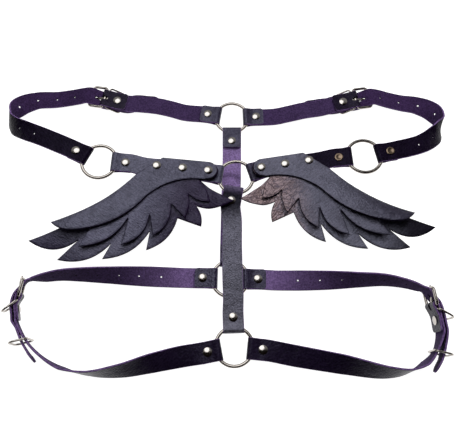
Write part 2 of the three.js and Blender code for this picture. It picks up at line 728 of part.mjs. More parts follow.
function addWing(side) {
  const { bearing, back, sideBearing, sideBack } = WINGS[side];
  const inner = ringEnd('centre_back', { bearing, climb: WING_CLIMB, side: -1, rivetBack: back });
  const outerFold = { bearing: sideBearing, climb: -WING_CLIMB, side: -1, rivetBack: sideBack };
  const outer = ringEnd(`side_${side}`, outerFold);
  const between = WING_RIVETS.map((u) => u + WING_RIVETS[1] / 2);
  const along = between.map((u) => [...wingPoint(side, u, 0, 0).toArray(), 90]);
  const sections = ribbonSections([...inner.points.toReversed(), ...stations(along), ...outer.points]);
  const frames = WING_RIVETS.map((u) => wingRivetFrame(side, u));
  const stack = LEATHER / 2 + 3 * LAYER_STEP;
  const holes = frames.map((frame) => holeCutter(frame, POST_RADIUS + GAP, 2 * stack));
  addPiece(`wing_strap_${side}`, cut(ribbon(sections, LEATHER), [rivetHole(outer), ...holes]), 'leather');
  for (const [name, layer] of Object.entries(WING_LAYERS)) {
    addPiece(`wing_${name}_${side}`, cut(layerSheet(side, layer), holes), 'feather');
  }
  frames.forEach((frame, i) => {
    const below = i === 0 ? LAYER_PITCH + LEATHER / 2 + GAP : LEATHER / 2;
    addRivet(`rivet_wing_${side}_${i + 1}`, frame, stack, below);
  });
  addRivet(`rivet_wing_strap_${side}`, outer.rivetFrame, outer.grip, outer.grip);
}

// Upright straps between the chest loop and the waist loop
const UPRIGHTS = {
  front: {
    top: ['front_chest', { bearing: 270, side: 1, rivetBack: 11 }],
    rows: [[2, 66, 1, 0], [1.4, 36, 1, 0], [0.8, 6, 1, 0], [0.2, -22, 1, 0]],
    foot: ['waist_front', { bearing: 90, side: 1 }],
  },
  back: {
    top: ['centre_back', { bearing: 259.7, climb: -5, side: -1, rivetBack: 8, slack: 4 }],
    rows: [[2, -8, 13.6, 0], [2, -34, 12.2, 0], [2.4, -60, 11.2, 0], [3.2, -84, 9.8, 0]],
    foot: ['waist_back', { bearing: 92, side: -1, rivetBack: 9.3 }],
  },
};

function addUpright(name) {
  const { top, rows, foot } = UPRIGHTS[name];
  const upper = ringEnd(...top);
  const lower = ringEnd(...foot);
  const sections = ribbonSections([...upper.points.toReversed(), ...stations(rows), ...lower.points]);
  addPiece(`${name}_vertical`, cut(ribbon(sections, LEATHER), [rivetHole(upper), rivetHole(lower)]), 'leather');
  addRivet(`rivet_${name}_vertical_top`, upper.rivetFrame, upper.grip, upper.grip);
  addRivet(`rivet_${name}_vertical_foot`, lower.rivetFrame, lower.grip, lower.grip);
}

// Waist loop: the front strap leans up on its edge, goes through the buckle and ends in a tail
const WAIST_FIRST_HOLE = 81;
const WAIST_HOLE_PITCH = 20.7;
const WAIST_HOLES = 6;
const WAIST_FRONT = {
  left: {
    ring: { bearing: 178.6, side: 1, rivetBack: 9.2 },
    rows: [[-46, -63.5, 1, 90, 0], [-80, -63, 4.8, 90, 20], [-118, -62.3, 8.8, 90, 47], [-147, -62, 10, 90, 61],
      [-166, -62.6, 10.6, 92, 71], [-181, -65.2, 11.4, 102, 80]],
    tail: [[-200.3, -114.5, 12.6, 190, 108], [-193.5, -127, 12.4, 205, 106],
      [-187, -136, 11.5, 215, 104], [-180, -144, 11, 215, 102]],
  },
  right: {
    ring: { bearing: -1.2, side: 1, rivetBack: 10 },
    rows: [[46, -66, 1, 90, 0], [82, -67, 5.6, 90, 25], [123, -67, 9.2, 90, 53], [150, -67.3, 10.2, 90, 67],
      [166, -69.9, 10.8, 84, 76], [177, -73, 11.6, 74, 82]],
    tail: [[198.4, -129, 12.9, 0, 98], [194.4, -141.5, 12.6, 0, 102], [187.4, -153, 11.5, 0, 102]],
  },
};

function addWaistFront(side) {
  const { ring, rows, tail } = WAIST_FRONT[side];
  const start = ringEnd('waist_front', ring);
  const buckle = throughBuckle(`waist_${side}`);
  const points = [...start.points.toReversed(), ...stations(rows), ...buckle, ...stations(tail)];
  roundTip(points, points[points.length - 2]);
  const sections = ribbonSections(points);
  const cutters = [rivetHole(start), prongHole(`waist_${side}`),
    ...holesAlong(sections, WAIST_FIRST_HOLE, WAIST_HOLE_PITCH, WAIST_HOLES)];
  addPiece(`waist_front_${side}`, cut(ribbon(sections, LEATHER), cutters), 'leather');
  addRivet(`rivet_waist_front_${side}`, start.rivetFrame, start.grip, start.grip);
}

const WAIST_BACK = {
  left: {
    ring: { bearing: 191.3, side: -1, rivetBack: 7.7 },
    rows: [[-46, -139, 6, 90, 12], [-74, -145, 6.4, 90, 30], [-101, -151.5, 9, 90, 55], [-130, -154, 10.3, 90, 80],
      [-155, -149.5, 10.5, 90, 92], [-174, -139.5, 11.5, 215, 98], [-189.8, -125.3, 12.5, 205, 104]],
  },
  right: {
    ring: { bearing: -6.3, side: -1, rivetBack: 9.4 },
    rows: [[60, -138, 6, 90, 10], [106, -146, 7, 90, 30], [145, -153, 10, 90, 60], [165, -152, 11, 90, 80],
      [180, -145, 12, 90, 94], [190.4, -134, 12.8, 0, 101]],
  },
};

function addWaistBack(side) {
  const { ring, rows } = WAIST_BACK[side];
  const start = ringEnd('waist_back', ring);
  const heel = heelEnd(`waist_${side}`);
  const sections = ribbonSections([...start.points.toReversed(), ...stations(rows), ...heel.points]);
  const cutters = [rivetHole(start), rivetHole(heel), prongSlot(`waist_${side}`)];
  addPiece(`waist_back_${side}`, cut(ribbon(sections, LEATHER), cutters), 'leather');
  addRivet(`rivet_waist_back_${side}`, start.rivetFrame, start.grip, start.grip);
  addRivet(`rivet_waist_buckle_${side}`, heel.rivetFrame, heel.grip, heel.grip);
}

// Lower waist keepers stand round the tail and the strap that it lies against
const LOWER_KEEPERS = {
  left: { inner: [-186.6, -123.6, 12.6], outward: [-0.95, -0.26, 0.1], along: [0.3, -0.94, 0] },
  right: { inner: [186.6, -134.1, 12.6], outward: [0.96, -0.24, 0.1], along: [-0.25, -0.97, 0] },
};
const CHEST_KEEPER_OFF = -2.4;
const WAIST_KEEPER_OFF = { left: -4, right: -7 };

function addKeepers(side) {
  const { inner, outward, along } = LOWER_KEEPERS[side];
  addCaughtKeeper(`chest_${side}`, `chest_${side}`, CHEST_KEEPER_OFF, KEEPER_CORNER);
  addCaughtKeeper(`waist_${side}_upper`, `waist_${side}`, WAIST_KEEPER_OFF[side], WAIST_KEEPER_CORNER);
  addKeeper(`waist_${side}_lower`, new THREE.Vector3(...inner), new THREE.Vector3(...outward).normalize(),
    new THREE.Vector3(...along).normalize(), WAIST_KEEPER_CORNER);
}

addRings();
for (const name of Object.keys(UPRIGHTS)) {
  addUpright(name);
}
for (const side of Object.keys(WINGS)) {
  addChestFront(side);
  addChestSide(side);
  addWing(side);
  addWaistFront(side);
  addWaistBack(side);
  addKeepers(side);
}
for (const name of Object.keys(BUCKLES)) {
  addBuckle(name);
}

// The harness stands on z = 0 with its box centred on the z axis
const box = new THREE.Box3().setFromObject(harness, true);
const middle = box.getCenter(new THREE.Vector3());
harness.position.set(-middle.x, -middle.y, -box.min.z);

export default harness;
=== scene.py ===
"""Angel wing harness: the looks of the leather body harness, lying on a white table."""
import math

import bpy
from mathutils import Matrix, Vector, geometry, noise


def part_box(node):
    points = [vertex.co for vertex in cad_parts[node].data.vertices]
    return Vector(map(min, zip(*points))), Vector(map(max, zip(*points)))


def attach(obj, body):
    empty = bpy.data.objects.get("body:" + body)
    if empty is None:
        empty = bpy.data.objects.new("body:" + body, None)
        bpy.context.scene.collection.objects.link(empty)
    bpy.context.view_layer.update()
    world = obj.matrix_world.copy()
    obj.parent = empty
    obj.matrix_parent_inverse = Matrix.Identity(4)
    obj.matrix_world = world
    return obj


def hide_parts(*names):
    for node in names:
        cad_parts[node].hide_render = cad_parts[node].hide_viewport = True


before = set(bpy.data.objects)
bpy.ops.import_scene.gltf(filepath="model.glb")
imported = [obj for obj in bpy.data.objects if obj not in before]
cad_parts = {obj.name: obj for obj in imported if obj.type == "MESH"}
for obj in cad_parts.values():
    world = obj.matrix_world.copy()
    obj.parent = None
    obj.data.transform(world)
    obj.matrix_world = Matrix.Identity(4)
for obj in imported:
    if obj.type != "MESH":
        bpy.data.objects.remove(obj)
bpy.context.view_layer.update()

# Sizes in millimetres, in the design frame of the harness
MM = 0.001
STRAP_WIDTH = 20
LEATHER = 1.8
FEATHER_LEATHER = 1.5
GAP = 0.3
LAYER_PITCH = LEATHER + GAP
RING_RADIUS = 17.75
RING_WIRE = 3.5
CHEST_HOLE_RADIUS = 1.15
WAIST_HOLE_RADIUS = 0.8
RIVET_SEAT = 3.9
DOME_RADIUS = 4.25
DOME_HEIGHT = 0.95
DOME_RIM = 0.5
DISHED_RIVETS = ("rivet_wing_strap_right", "rivet_chest_side_right")
DISH_SHARE = 0.8
DISH_RISE = 0.45
DISH_DEEP = -0.35
BACK_CAP_RADIUS = 3.2
BACK_CAP_HEIGHT = 0.8
POST_RADIUS = 1.4
BUCKLE_WIRE = 3
BUCKLE_LENGTH = 16
BUCKLE_WIDTH = 23.8
BUCKLE_CORNER = 3
PRONG_WIDTH = 2.4
PRONG_THICK = 1.8
KEEPER_WIRE = 2
KEEPER_DEPTH = 16.6
KEEPER_WIDTH = 24
KEEPER_CORNER = 3
WAIST_KEEPER_CORNER = 5.5
FOLD_CLEARANCE = 0.05
RING_FOLD_SLACK = 2.1
WING_FOLD_SLACK = 0.8
HEEL_FOLD_SLACK = 0.3
CLAMP_MARGIN = 0.6
CLAMP_HALF = RIVET_SEAT + CLAMP_MARGIN
RIVET_BACK = 9
FLAP_LENGTH = 17
HEEL_RIVET_BACK = 14.5
HEEL_FLAP_LENGTH = 25
FLAP_CORNER = 3.2
BEND_STEP = 0.5

# Mesh fineness
SWEEP_STEP = 1.6
COLUMNS = 6
EDGE_ROUND = 0.45
FOLD_STEP = 15
WIRE_SIDES = 18
RING_STEPS = 96
CORNER_STEPS = 8
RIVET_SIDES = 32
FEATHER_GRID = 2.2
CURVE_STEPS = 18
HOLE_SIDES = 16
SLEEVE_SIDES = 24
SHARP_ANGLE = math.radians(50)

UP = Vector((0, 0, 1))
RINGS = {
    "front_chest": (2, 114, 4.3),
    "centre_back": (6, 38, 16.5),
    "side_left": (-133, 51, 26.7),
    "side_right": (137, 57, 26.7),
    "waist_front": (0, -65, 4.3),
    "waist_back": (4, -130, 8),
}

ring_low, ring_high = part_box("ring_front_chest")
SHIFT = (Vector(ring_low) + Vector(ring_high)) / 2 - Vector(RINGS["front_chest"]) * MM


def to_row(point):
    return Vector(point) * MM + SHIFT


# Materials
def add_node(tree, kind, inputs=None, **settings):
    node = tree.nodes.new(kind)
    for key, value in settings.items():
        setattr(node, key, value)
    for key, value in (inputs or {}).items():
        if isinstance(value, bpy.types.NodeSocket):
            tree.links.new(value, node.inputs[key])
        else:
            node.inputs[key].default_value = value
    return node


def ramp(tree, factor, stops):
    node = add_node(tree, "ShaderNodeValToRGB", {"Fac": factor})
    elements = node.color_ramp.elements
    while len(elements) < len(stops):
        elements.new(0.5)
    for element, (position, colour) in zip(elements, stops):
        element.position = position
        element.color = (*colour, 1)
    return node.outputs["Color"]


def maths(tree, operation, a, b):
    node = add_node(tree, "ShaderNodeMath", {0: a, 1: b}, operation=operation)
    return node.outputs[0]


def new_material(name):
    material = bpy.data.materials.new(name)
    material.use_nodes = True
    tree = material.node_tree
    return material, tree, tree.nodes["Principled BSDF"]


def mix(tree, factor, a, b, blend="MIX"):
    node = add_node(tree, "ShaderNodeMix", {"Factor": factor}, data_type="RGBA", blend_type=blend)
    for index, value in ((6, a), (7, b)):
        if isinstance(value, bpy.types.NodeSocket):
            tree.links.new(value, node.inputs[index])
        else:
            node.inputs[index].default_value = (*value, 1)
    return node.outputs[2]


def eased(tree, value, start, end, first, last):
    node = add_node(tree, "ShaderNodeMapRange", {"Value": value, 1: start, 2: end, 3: first, 4: last},
                    interpolation_type="SMOOTHSTEP")
    return node.outputs[0]


def noise_value(tree, vector, scale, detail):
    node = add_node(tree, "ShaderNodeTexNoise", {"Vector": vector, "Scale": scale, "Detail": detail})
    return node.outputs["Fac"]


def mapped(tree, vector, **changes):
    return add_node(tree, "ShaderNodeMapping", {"Vector": vector, **changes}).outputs["Vector"]


def weighted(tree, *terms):
    """The sum of values, each times its weight."""
    total = 0
    for value, weight in terms:
        total = maths(tree, "ADD", maths(tree, "MULTIPLY", value, weight), total)
    return total


def roughen(tree, shader, pattern, rough, spread):
    gloss = maths(tree, "ADD", maths(tree, "MULTIPLY", pattern, spread), rough - spread / 2)
    tree.links.new(gloss, shader.inputs["Roughness"])


# Leather: scales of its patterns, then their shares in the colour and in the height
SHEEN_TINT = (0.78, 0.77, 1, 1)
LINE_TURN = math.radians(30)
LINE_SCALE = (160, 700, 1)
BLOTCH_SCALE = 60
FINE_SCALE = 600
CELL_SCALE = 700
BLOTCH_TONE = 0.25
FINE_TONE = 0.75
TONE_LOW, TONE_HIGH = 0.42, 0.58
CELL_HEIGHT = 0.35
LINE_HEIGHT = 1.6
FINE_HEIGHT = 0.25
BLOTCH_HEIGHT = 2
BUMP_DEPTH = 0.0007
GLOSS_SPREAD = 0.2
CREASE_SWIRL = 130
CREASE_BEND = 0.01
CREASE_SCALE = (150, 430, 1)
# Crease lines are darkened towards this tone: painted shade in the creases, beside their real dent in the
# height.
CREASE_SHADE_TONE = (0.2, 0.17, 0.2)
CREASE_WIDTH = 0.16
CREASE_DEPTH = 0.2


def crease_distance(tree, along, turned):
    """Distance from the nearest crease, as a share of the space between creases."""
    swirl = add_node(tree, "ShaderNodeTexNoise", {"Vector": along, "Scale": CREASE_SWIRL, "Detail": 2})
    bent = mapped(tree, mix(tree, CREASE_BEND, turned, swirl.outputs["Color"]), Scale=CREASE_SCALE)
    node = add_node(tree, "ShaderNodeTexVoronoi", {"Vector": bent, "Scale": 1}, feature="DISTANCE_TO_EDGE")
    return node.outputs["Distance"]


def leather(name, colour, rough=0.9, sheen=0.1, contrast=0.25, streak=0.1, fades=(), creases=0):
    """Leather with a mottled colour, pebbled grain and a share of fine lines along the strap.

    Each fade gives two distances along the strap in metres, the colour that it turns to and the share of
    the sheen that stays; several fades are painted shade or painted light, as noted where the materials
    are made. Creases wrinkle the part that has faded first, and their lines are darkened with painted shade."""
    material, tree, shader = new_material(name)
    place = add_node(tree, "ShaderNodeTexCoord").outputs["Object"]
    along = add_node(tree, "ShaderNodeUVMap", uv_map="strap").outputs["UV"]
    turned = mapped(tree, along, Rotation=(0, 0, LINE_TURN))
    blotch = noise_value(tree, place, BLOTCH_SCALE, 4)
    fine = noise_value(tree, place, FINE_SCALE, 3)
    line = noise_value(tree, mapped(tree, turned, Scale=LINE_SCALE), 1, 3)
    cell = add_node(tree, "ShaderNodeTexVoronoi", {"Vector": place, "Scale": CELL_SCALE}).outputs["Distance"]
    mottle = weighted(tree, (blotch, BLOTCH_TONE), (fine, FINE_TONE - streak), (line, streak))
    grain = ramp(tree, mottle, [(TONE_LOW, (1 - contrast,) * 3), (TONE_HIGH, (1 + contrast,) * 3)])
    height = weighted(tree, (cell, CELL_HEIGHT), (line, LINE_HEIGHT * streak), (fine, FINE_HEIGHT),
                      (blotch, BLOTCH_HEIGHT))
    reach = add_node(tree, "ShaderNodeSeparateXYZ", {"Vector": along}).outputs["X"]
    tone, level = colour, sheen
    for index, (start, end, faded, kept_sheen) in enumerate(fades):
        share = eased(tree, reach, start, end, 0, 1)
        if creases and index == 0:
            crease_gap = crease_distance(tree, along, turned)
            lines = ramp(tree, crease_gap, [(0, CREASE_SHADE_TONE), (CREASE_WIDTH, (1, 1, 1))])
            faded = mix(tree, 1.0, faded, lines, "MULTIPLY")
            fold = maths(tree, "MULTIPLY", maths(tree, "MINIMUM", crease_gap, CREASE_DEPTH), share)
            height = maths(tree, "ADD", height, maths(tree, "MULTIPLY", fold, creases))
        tone = mix(tree, share, tone, faded)
        level = maths(tree, "MULTIPLY", eased(tree, reach, start, end, 1, kept_sheen), level)
    tree.links.new(mix(tree, 1.0, tone, grain, "MULTIPLY"), shader.inputs["Base Color"])
    tree.links.new(maths(tree, "MULTIPLY", grain, level), shader.inputs["Specular IOR Level"])
    dent = add_node(tree, "ShaderNodeBump", {"Height": height, "Strength": 1, "Distance": BUMP_DEPTH})
    tree.links.new(dent.outputs["Normal"], shader.inputs["Normal"])
    roughen(tree, shader, fine, rough, GLOSS_SPREAD)
    shader.inputs["Specular Tint"].default_value = SHEEN_TINT
    return material


SCUFF_SCALE = 900
SCUFF_SPREAD = 0.16


def metal(name, colour, rough):
    """Plated wire with faint scuffs."""
    material, tree, shader = new_material(name)
    place = add_node(tree, "ShaderNodeTexCoord").outputs["Object"]
    roughen(tree, shader, noise_value(tree, place, SCUFF_SCALE, 4), rough, SCUFF_SPREAD)
    shader.inputs["Base Color"].default_value = (*colour, 1)
    shader.inputs["Metallic"].default_value = 1
    return material


# Flesh sides, grain sides and cut edges of the straps
GRAIN_TONE = (0.008, 0.005, 0.017)
# The grain tone of shaded copies: darker than the grain, painted shade.
SHADED_TONE = (0.0035, 0.0015, 0.007)
FLESH = leather("flesh", (0.036, 0.021, 0.061))
# Flesh of the side straps: a darker tone, with painted shade over the tail end that tucks under the front
# strap.
FLESH_DARK_SHADED_TAIL = leather("flesh_dark_shaded_tail", (0.029, 0.015, 0.050),
                     fades=[(0.046, 0.034, (0.010, 0.005, 0.018), 1)])
# Flesh of the uprights: a lighter violet, partly the hide's own tone and partly painted light.
FLESH_UPRIGHT_LIT = leather("flesh_upright_lit", (0.170, 0.113, 0.256))
# Flesh of the waist front straps: a light violet near the front ring, partly painted light, fading further
# out to the plain flesh tone as painted shade where the strap leans away from the light.
FLESH_WAIST_SHADED = leather("flesh_waist_shaded", (0.134, 0.085, 0.204),
                      fades=[(0.03, 0.13, (0.038, 0.022, 0.064), 1)])
GRAIN = leather("grain", GRAIN_TONE, rough=0.33, sheen=0.65, streak=0.3)
GRAIN_CHEST = leather("grain_chest", GRAIN_TONE, rough=0.33, sheen=0.65, streak=0.3,
                      fades=[(0.05, 0.10, (0.005, 0.002, 0.009), 0.25)])
# Shaded copy of the grain on the back waist straps: darker with less sheen, painted shade.
GRAIN_WAIST_SHADED = leather("grain_waist_shaded", (0.007, 0.004, 0.013), rough=0.32, sheen=0.18, contrast=0.3, streak=0.3)
# Grain of the back upright: its lighter base colour is painted sheen, a dark band below the top rivet is a
# painted shadow of the wing tips, and the top fold turns to a lighter purple.
GRAIN_UPRIGHT_SHEEN_SHADOW = leather("grain_upright_sheen_shadow", (0.050, 0.048, 0.062), rough=0.34, sheen=0.75, streak=0.2,
                        fades=[(0.064, 0.044, (0.004, 0.003, 0.006), 0.25),
                               (0.036, 0.028, (0.060, 0.046, 0.088), 1)])
# Grain of the right wing strap: a lighter copy with painted sheen near the centre ring, turning further out
# to the shaded tone with little sheen, painted shade.
GRAIN_WING_STRAP_SHADED = leather("grain_wing_strap_shaded", (0.016, 0.012, 0.026), rough=0.36, sheen=0.4, contrast=0.3,
                           streak=0.3, fades=[(0.06, 0.09, SHADED_TONE, 0.17)])
# Shaded copy of the grain on the side straps: darker with little sheen, painted shade.
GRAIN_SHADED = leather("grain_shaded", SHADED_TONE, rough=0.36, sheen=0.07, contrast=0.3, streak=0.3)
# Cut edges of the straps: purple cut leather, made lighter as a painted highlight along the strap edges.
EDGE = leather("cut_edge_and_highlight", (0.105, 0.062, 0.160))
# Walls of punched holes and slots: near black, painted shade in the holes.
HOLE = leather("hole_wall_shade", (0.012, 0.007, 0.018))

# Wing layers: the inner feathers fade to purple on the left and to a creased brown on the right
INNER_LEFT = (0.075, 0.010, (0.010, 0.004, 0.018), 0.5)
INNER_RIGHT = (0.055, 0.005, (0.245, 0.176, 0.180), 0.8)
FEATHER_STREAK = 0.35
FEATHER_CREASES = 3
# Near-black cut edges of the feathers: painted shade that draws dark lines along the feather edges.
FEATHER_EDGE_SHADE = leather("feather_edge_shade", (0.005, 0.002, 0.010))


def feather(name, colour, rough, sheen, *fades, creases=0):
    return leather(name, colour, rough, sheen, streak=FEATHER_STREAK, fades=fades, creases=creases)


BLADE_LEFT = feather("blade_left", (0.026, 0.025, 0.041), 0.33, 0.75)
# The right blade turns darker with less sheen towards its tip: painted shade of the sheen falling off.
BLADE_RIGHT_SHADED_TIP = feather("blade_right_shaded_tip", (0.030, 0.029, 0.043), 0.33, 0.88,
                      (0.070, 0.130, (0.012, 0.010, 0.019), 0.65))
MIDDLE_LEFT = feather("middle_left", (0.044, 0.042, 0.067), 0.34, 0.75, INNER_LEFT)
MIDDLE_RIGHT = feather("middle_right", (0.032, 0.031, 0.045), 0.34, 0.8, INNER_RIGHT, creases=FEATHER_CREASES)
LOW_LEFT = feather("low_left", (0.050, 0.047, 0.073), 0.34, 0.75, INNER_LEFT,
                   (0.105, 0.140, (0.018, 0.015, 0.030), 0.55))
LOW_RIGHT = feather("low_right", (0.054, 0.054, 0.073), 0.34, 0.95, INNER_RIGHT,
                    (0.105, 0.145, (0.004, 0.003, 0.006), 0.15), creases=FEATHER_CREASES)
WING_GRAIN = {"left": (LOW_LEFT, MIDDLE_LEFT, BLADE_LEFT), "right": (LOW_RIGHT, MIDDLE_RIGHT, BLADE_RIGHT_SHADED_TIP)}

NICKEL = metal("nickel", (0.42, 0.385, 0.35), 0.2)
NICKEL_CAP = metal("nickel_cap", (0.48, 0.45, 0.42), 0.18)
BROWNED = metal("browned_nickel", (0.19, 0.14, 0.10), 0.3)


# Meshes and pieces
def make_piece(name, points, faces, materials, face_materials, uvs=None):
    mesh = bpy.data.meshes.new(name)
    mesh.from_pydata([to_row(p) for p in points], [], faces)
    for material in materials:
        mesh.materials.append(material)
    mesh.polygons.foreach_set("material_index", face_materials)
    mesh.polygons.foreach_set("use_smooth", [True] * len(faces))
    layer = mesh.uv_layers.new(name="strap")
    if uvs:
        for loop in mesh.loops:
            layer.data[loop.index].uv = uvs[loop.vertex_index]
    mesh.update()
    piece = bpy.data.objects.new("look_" + name, mesh)
    bpy.context.scene.collection.objects.link(piece)
    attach(piece, "root")
    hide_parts(name)
    return piece


def joined(parts):
    """The points and faces of several closed bodies together."""
    points, faces = [], []
    for part_points, part_faces in parts:
        first = len(points)
        points.extend(part_points)
        faces.extend([[first + i for i in face] for face in part_faces])
    return points, faces


def punch(piece, cutters):
    """Cuts holes and slots through a piece; cutters are lists of points and faces."""
    points, faces = joined(cutters)
    mesh = bpy.data.meshes.new("cutter")
    mesh.from_pydata([to_row(p) for p in points], [], faces)
    mesh.materials.append(HOLE)
    cutter = bpy.data.objects.new("cutter", mesh)
    bpy.context.scene.collection.objects.link(cutter)
    change = piece.modifiers.new("holes", "BOOLEAN")
    change.operation = "DIFFERENCE"
    change.solver = "EXACT"
    change.material_mode = "TRANSFER"
    change.object = cutter
    graph = bpy.context.evaluated_depsgraph_get()
    cut = bpy.data.meshes.new_from_object(piece.evaluated_get(graph))
    piece.modifiers.clear()
    piece.data = cut
    bpy.data.objects.remove(cutter)
    piece.data.set_sharp_from_angle(angle=SHARP_ANGLE)


def loft(loops):
    """A closed body over loops that all have the same number of points."""
    count = len(loops[0])
    points = [p for loop in loops for p in loop]
    faces = []
    for first in range(0, count * (len(loops) - 1), count):
        for k in range(count):
            a, b = first + k, first + (k + 1) % count
            faces.append([a, b, b + count, a + count])
    faces.append(list(range(count - 1, -1, -1)))
    faces.append(list(range(len(points) - count, len(points))))
    return points, faces


def circle(radius, steps):
    turns = [2 * math.pi * k / steps for k in range(steps)]
    return [(radius * math.cos(turn), radius * math.sin(turn)) for turn in turns]


def prism(place, outline, below, above):
    """A closed prism over an outline in the x-y plane of its frame."""
    return loft([[place @ Vector((x, y, off)) for x, y in outline] for off in (below, above)])


def slot_cutter(place, start, end, half, below, above):
    """A slot with round ends between two distances along the strap."""
    outline = []
    for k in range(HOLE_SIDES):
        turn = 2 * math.pi * (k + 0.5) / HOLE_SIDES
        middle = end - half if math.cos(turn) > 0 else start + half
        outline.append((middle + half * math.cos(turn), half * math.sin(turn)))
    return prism(place, outline, below, above)


def frame_along(origin, along, face):
    """A frame with x along a direction and z near the face's direction."""
    x = along.normalized()
    y = face.cross(x).normalized()
    z = x.cross(y)
    place = Matrix((x, y, z)).transposed().to_4x4()
    place.translation = origin
    return place


def axis_of(place, index):
    return place.to_3x3().col[index].copy()


# Straps: a ribbon swept along a smooth line
SHORTEST = 1e-3
EDGE_COLUMN = 0.4
RIPPLE = 0.012
RIPPLE_SCALE = 0.06
UNDERSIDE_SHIFT = 0.1
TIP_STEPS = (8, 6, 4, 2.5, 1.4, 0.6, 0.15)
TIP_LENGTH = TIP_STEPS[0]
FLAP_CORNER_SHARES = (1, 0.5, 0.22, 0.05)


def smooth_line(points):
    """Centripetal Catmull-Rom curve through the points, as a function of span and fraction."""
    first = points[0] * 2 - points[1]
    last = points[-1] * 2 - points[-2]
    padded = [first, *points, last]

    def position(span, f):
        p0, p1, p2, p3 = padded[span:span + 4]
        d0, d1, d2 = ((a - b).length ** 0.5 for a, b in ((p0, p1), (p1, p2), (p2, p3)))
        d1 = max(d1, SHORTEST)
        d0 = d0 if d0 > SHORTEST else d1
        d2 = d2 if d2 > SHORTEST else d1
        t1 = ((p1 - p0) / d0 - (p2 - p0) / (d0 + d1) + (p2 - p1) / d1) * d1
        t2 = ((p2 - p1) / d1 - (p3 - p1) / (d1 + d2) + (p3 - p2) / d2) * d1
        c2 = -3 * p1 + 3 * p2 - 2 * t1 - t2
        c3 = 2 * p1 - 2 * p2 + t1 + t2
        return p1 + t1 * f + c2 * f * f + c3 * f ** 3, t1 + 2 * c2 * f + 3 * c3 * f * f

    return position


def ribbon_sections(points):
    """Sections along the strap: middle, directions, half width and distance from the start."""
    flipped = []
    last = points[0][1]
    for p, across, half in points:
        last = -across if across.dot(last) < 0 else across
        flipped.append((p, last, half))
    line = smooth_line([p for p, across, half in flipped])
    spans = len(flipped) - 1
    sections = []
    distance = 0
    for i in range(spans):
        (p, a, half_a), (q, b, half_b) = flipped[i], flipped[i + 1]
        steps = max(1, round((q - p).length / SWEEP_STEP))
        for k in range(steps + (i == spans - 1)):
            f = k / steps
            middle, along = line(i, f)
            along.normalize()
            across = a.lerp(b, f)
            across = (across - along * across.dot(along)).normalized()
            if sections:
                distance += (middle - sections[-1]["p"]).length
            sections.append({"p": middle, "along": along, "across": across, "off": along.cross(across),
                             "half": half_a + (half_b - half_a) * f, "s": distance})
    return sections


def section_profile(half, thick):
    """Points round a strap's section, with rounded edges, and the material of each side."""
    high = thick / 2
    inner = half - EDGE_ROUND
    column = inner - EDGE_COLUMN
    columns = [inner, column, *(column * (1 - 2 * j / COLUMNS) for j in range(1, COLUMNS)), -column, -inner]
    slant = EDGE_ROUND * (1 - math.sqrt(0.5))
    edge = [(slant - half, high - slant), (-half, high - EDGE_ROUND), (-half, EDGE_ROUND - high),
            (slant - half, slant - high)]
    loop = [(w, high) for w in columns] + edge
    loop += [(-w, -h) for w, h in loop]
    sides = [0] * (len(columns) - 1) + [2] * (len(edge) + 1)
    sides += [1] * (len(columns) - 1) + [2] * (len(edge) + 1)
    return loop, sides


def ribbon_mesh(sections, thick):
    """Points, coordinates along the strap, faces and face materials of a swept ribbon."""
    loops, uvs, sides = [], [], []
    for section in sections:
        ripple = 1 + RIPPLE * noise.noise(section["p"] * RIPPLE_SCALE)
        profile, sides = section_profile(section["half"] * ripple, thick)
        loops.append([section["p"] + section["across"] * w + section["off"] * h for w, h in profile])
        uvs += [(section["s"] * MM, w * MM + (UNDERSIDE_SHIFT if h < 0 else 0)) for w, h in profile]
    points, faces = loft(loops)
    return points, uvs, faces, sides * (len(sections) - 1) + [2, 2]


def add_strap(name, points, up, marker, cutters=None, grain=GRAIN, flesh=FLESH):
    """A strap with the given side ("grain" or "flesh") facing up where it passes the marker."""
    sections = ribbon_sections(points)
    near = min(sections, key=lambda section: (section["p"] - Vector(marker)).length)
    plus_is_grain = (near["off"].z > 0) == (up == "grain")
    materials = [grain, flesh, EDGE] if plus_is_grain else [flesh, grain, EDGE]
    mesh_points, uvs, faces, sides = ribbon_mesh(sections, LEATHER)
    piece = make_piece(name, mesh_points, faces, materials, sides, uvs)
    if cutters:
        punch(piece, cutters(sections))


def frame_at(sections, distance):
    near = min(sections, key=lambda section: abs(section["s"] - distance))
    place = Matrix((near["along"], near["across"], near["off"])).transposed().to_4x4()
    place.translation = near["p"]
    return place


def holes_along(sections, first, pitch, count, radius):
    places = [frame_at(sections, first + k * pitch) for k in range(count)]
    return [prism(place, circle(radius, HOLE_SIDES), -LEATHER, LEATHER) for place in places]


def stations(rows):
    """Rows of a strap's middle line: x, y, z, then heading and lean of its width in degrees."""
    made = []
    for x, y, z, heading, *rest in rows:
        turn = math.radians(heading)
        lean = math.radians(rest[0] if rest else 0)
        across = Vector((math.cos(turn) * math.cos(lean), math.sin(turn) * math.cos(lean), math.sin(lean)))
        made.append((Vector((x, y, z)), across, STRAP_WIDTH / 2))
    return made


def round_tip(points):
    """Rounds the free end that the points end with."""
    end, across, half = points.pop()
    back = (points[-1][0] - end).normalized()
    for distance in TIP_STEPS:
        share = math.sqrt(1 - (1 - distance / TIP_LENGTH) ** 2)
        points.append((end + back * distance, across, half * share))


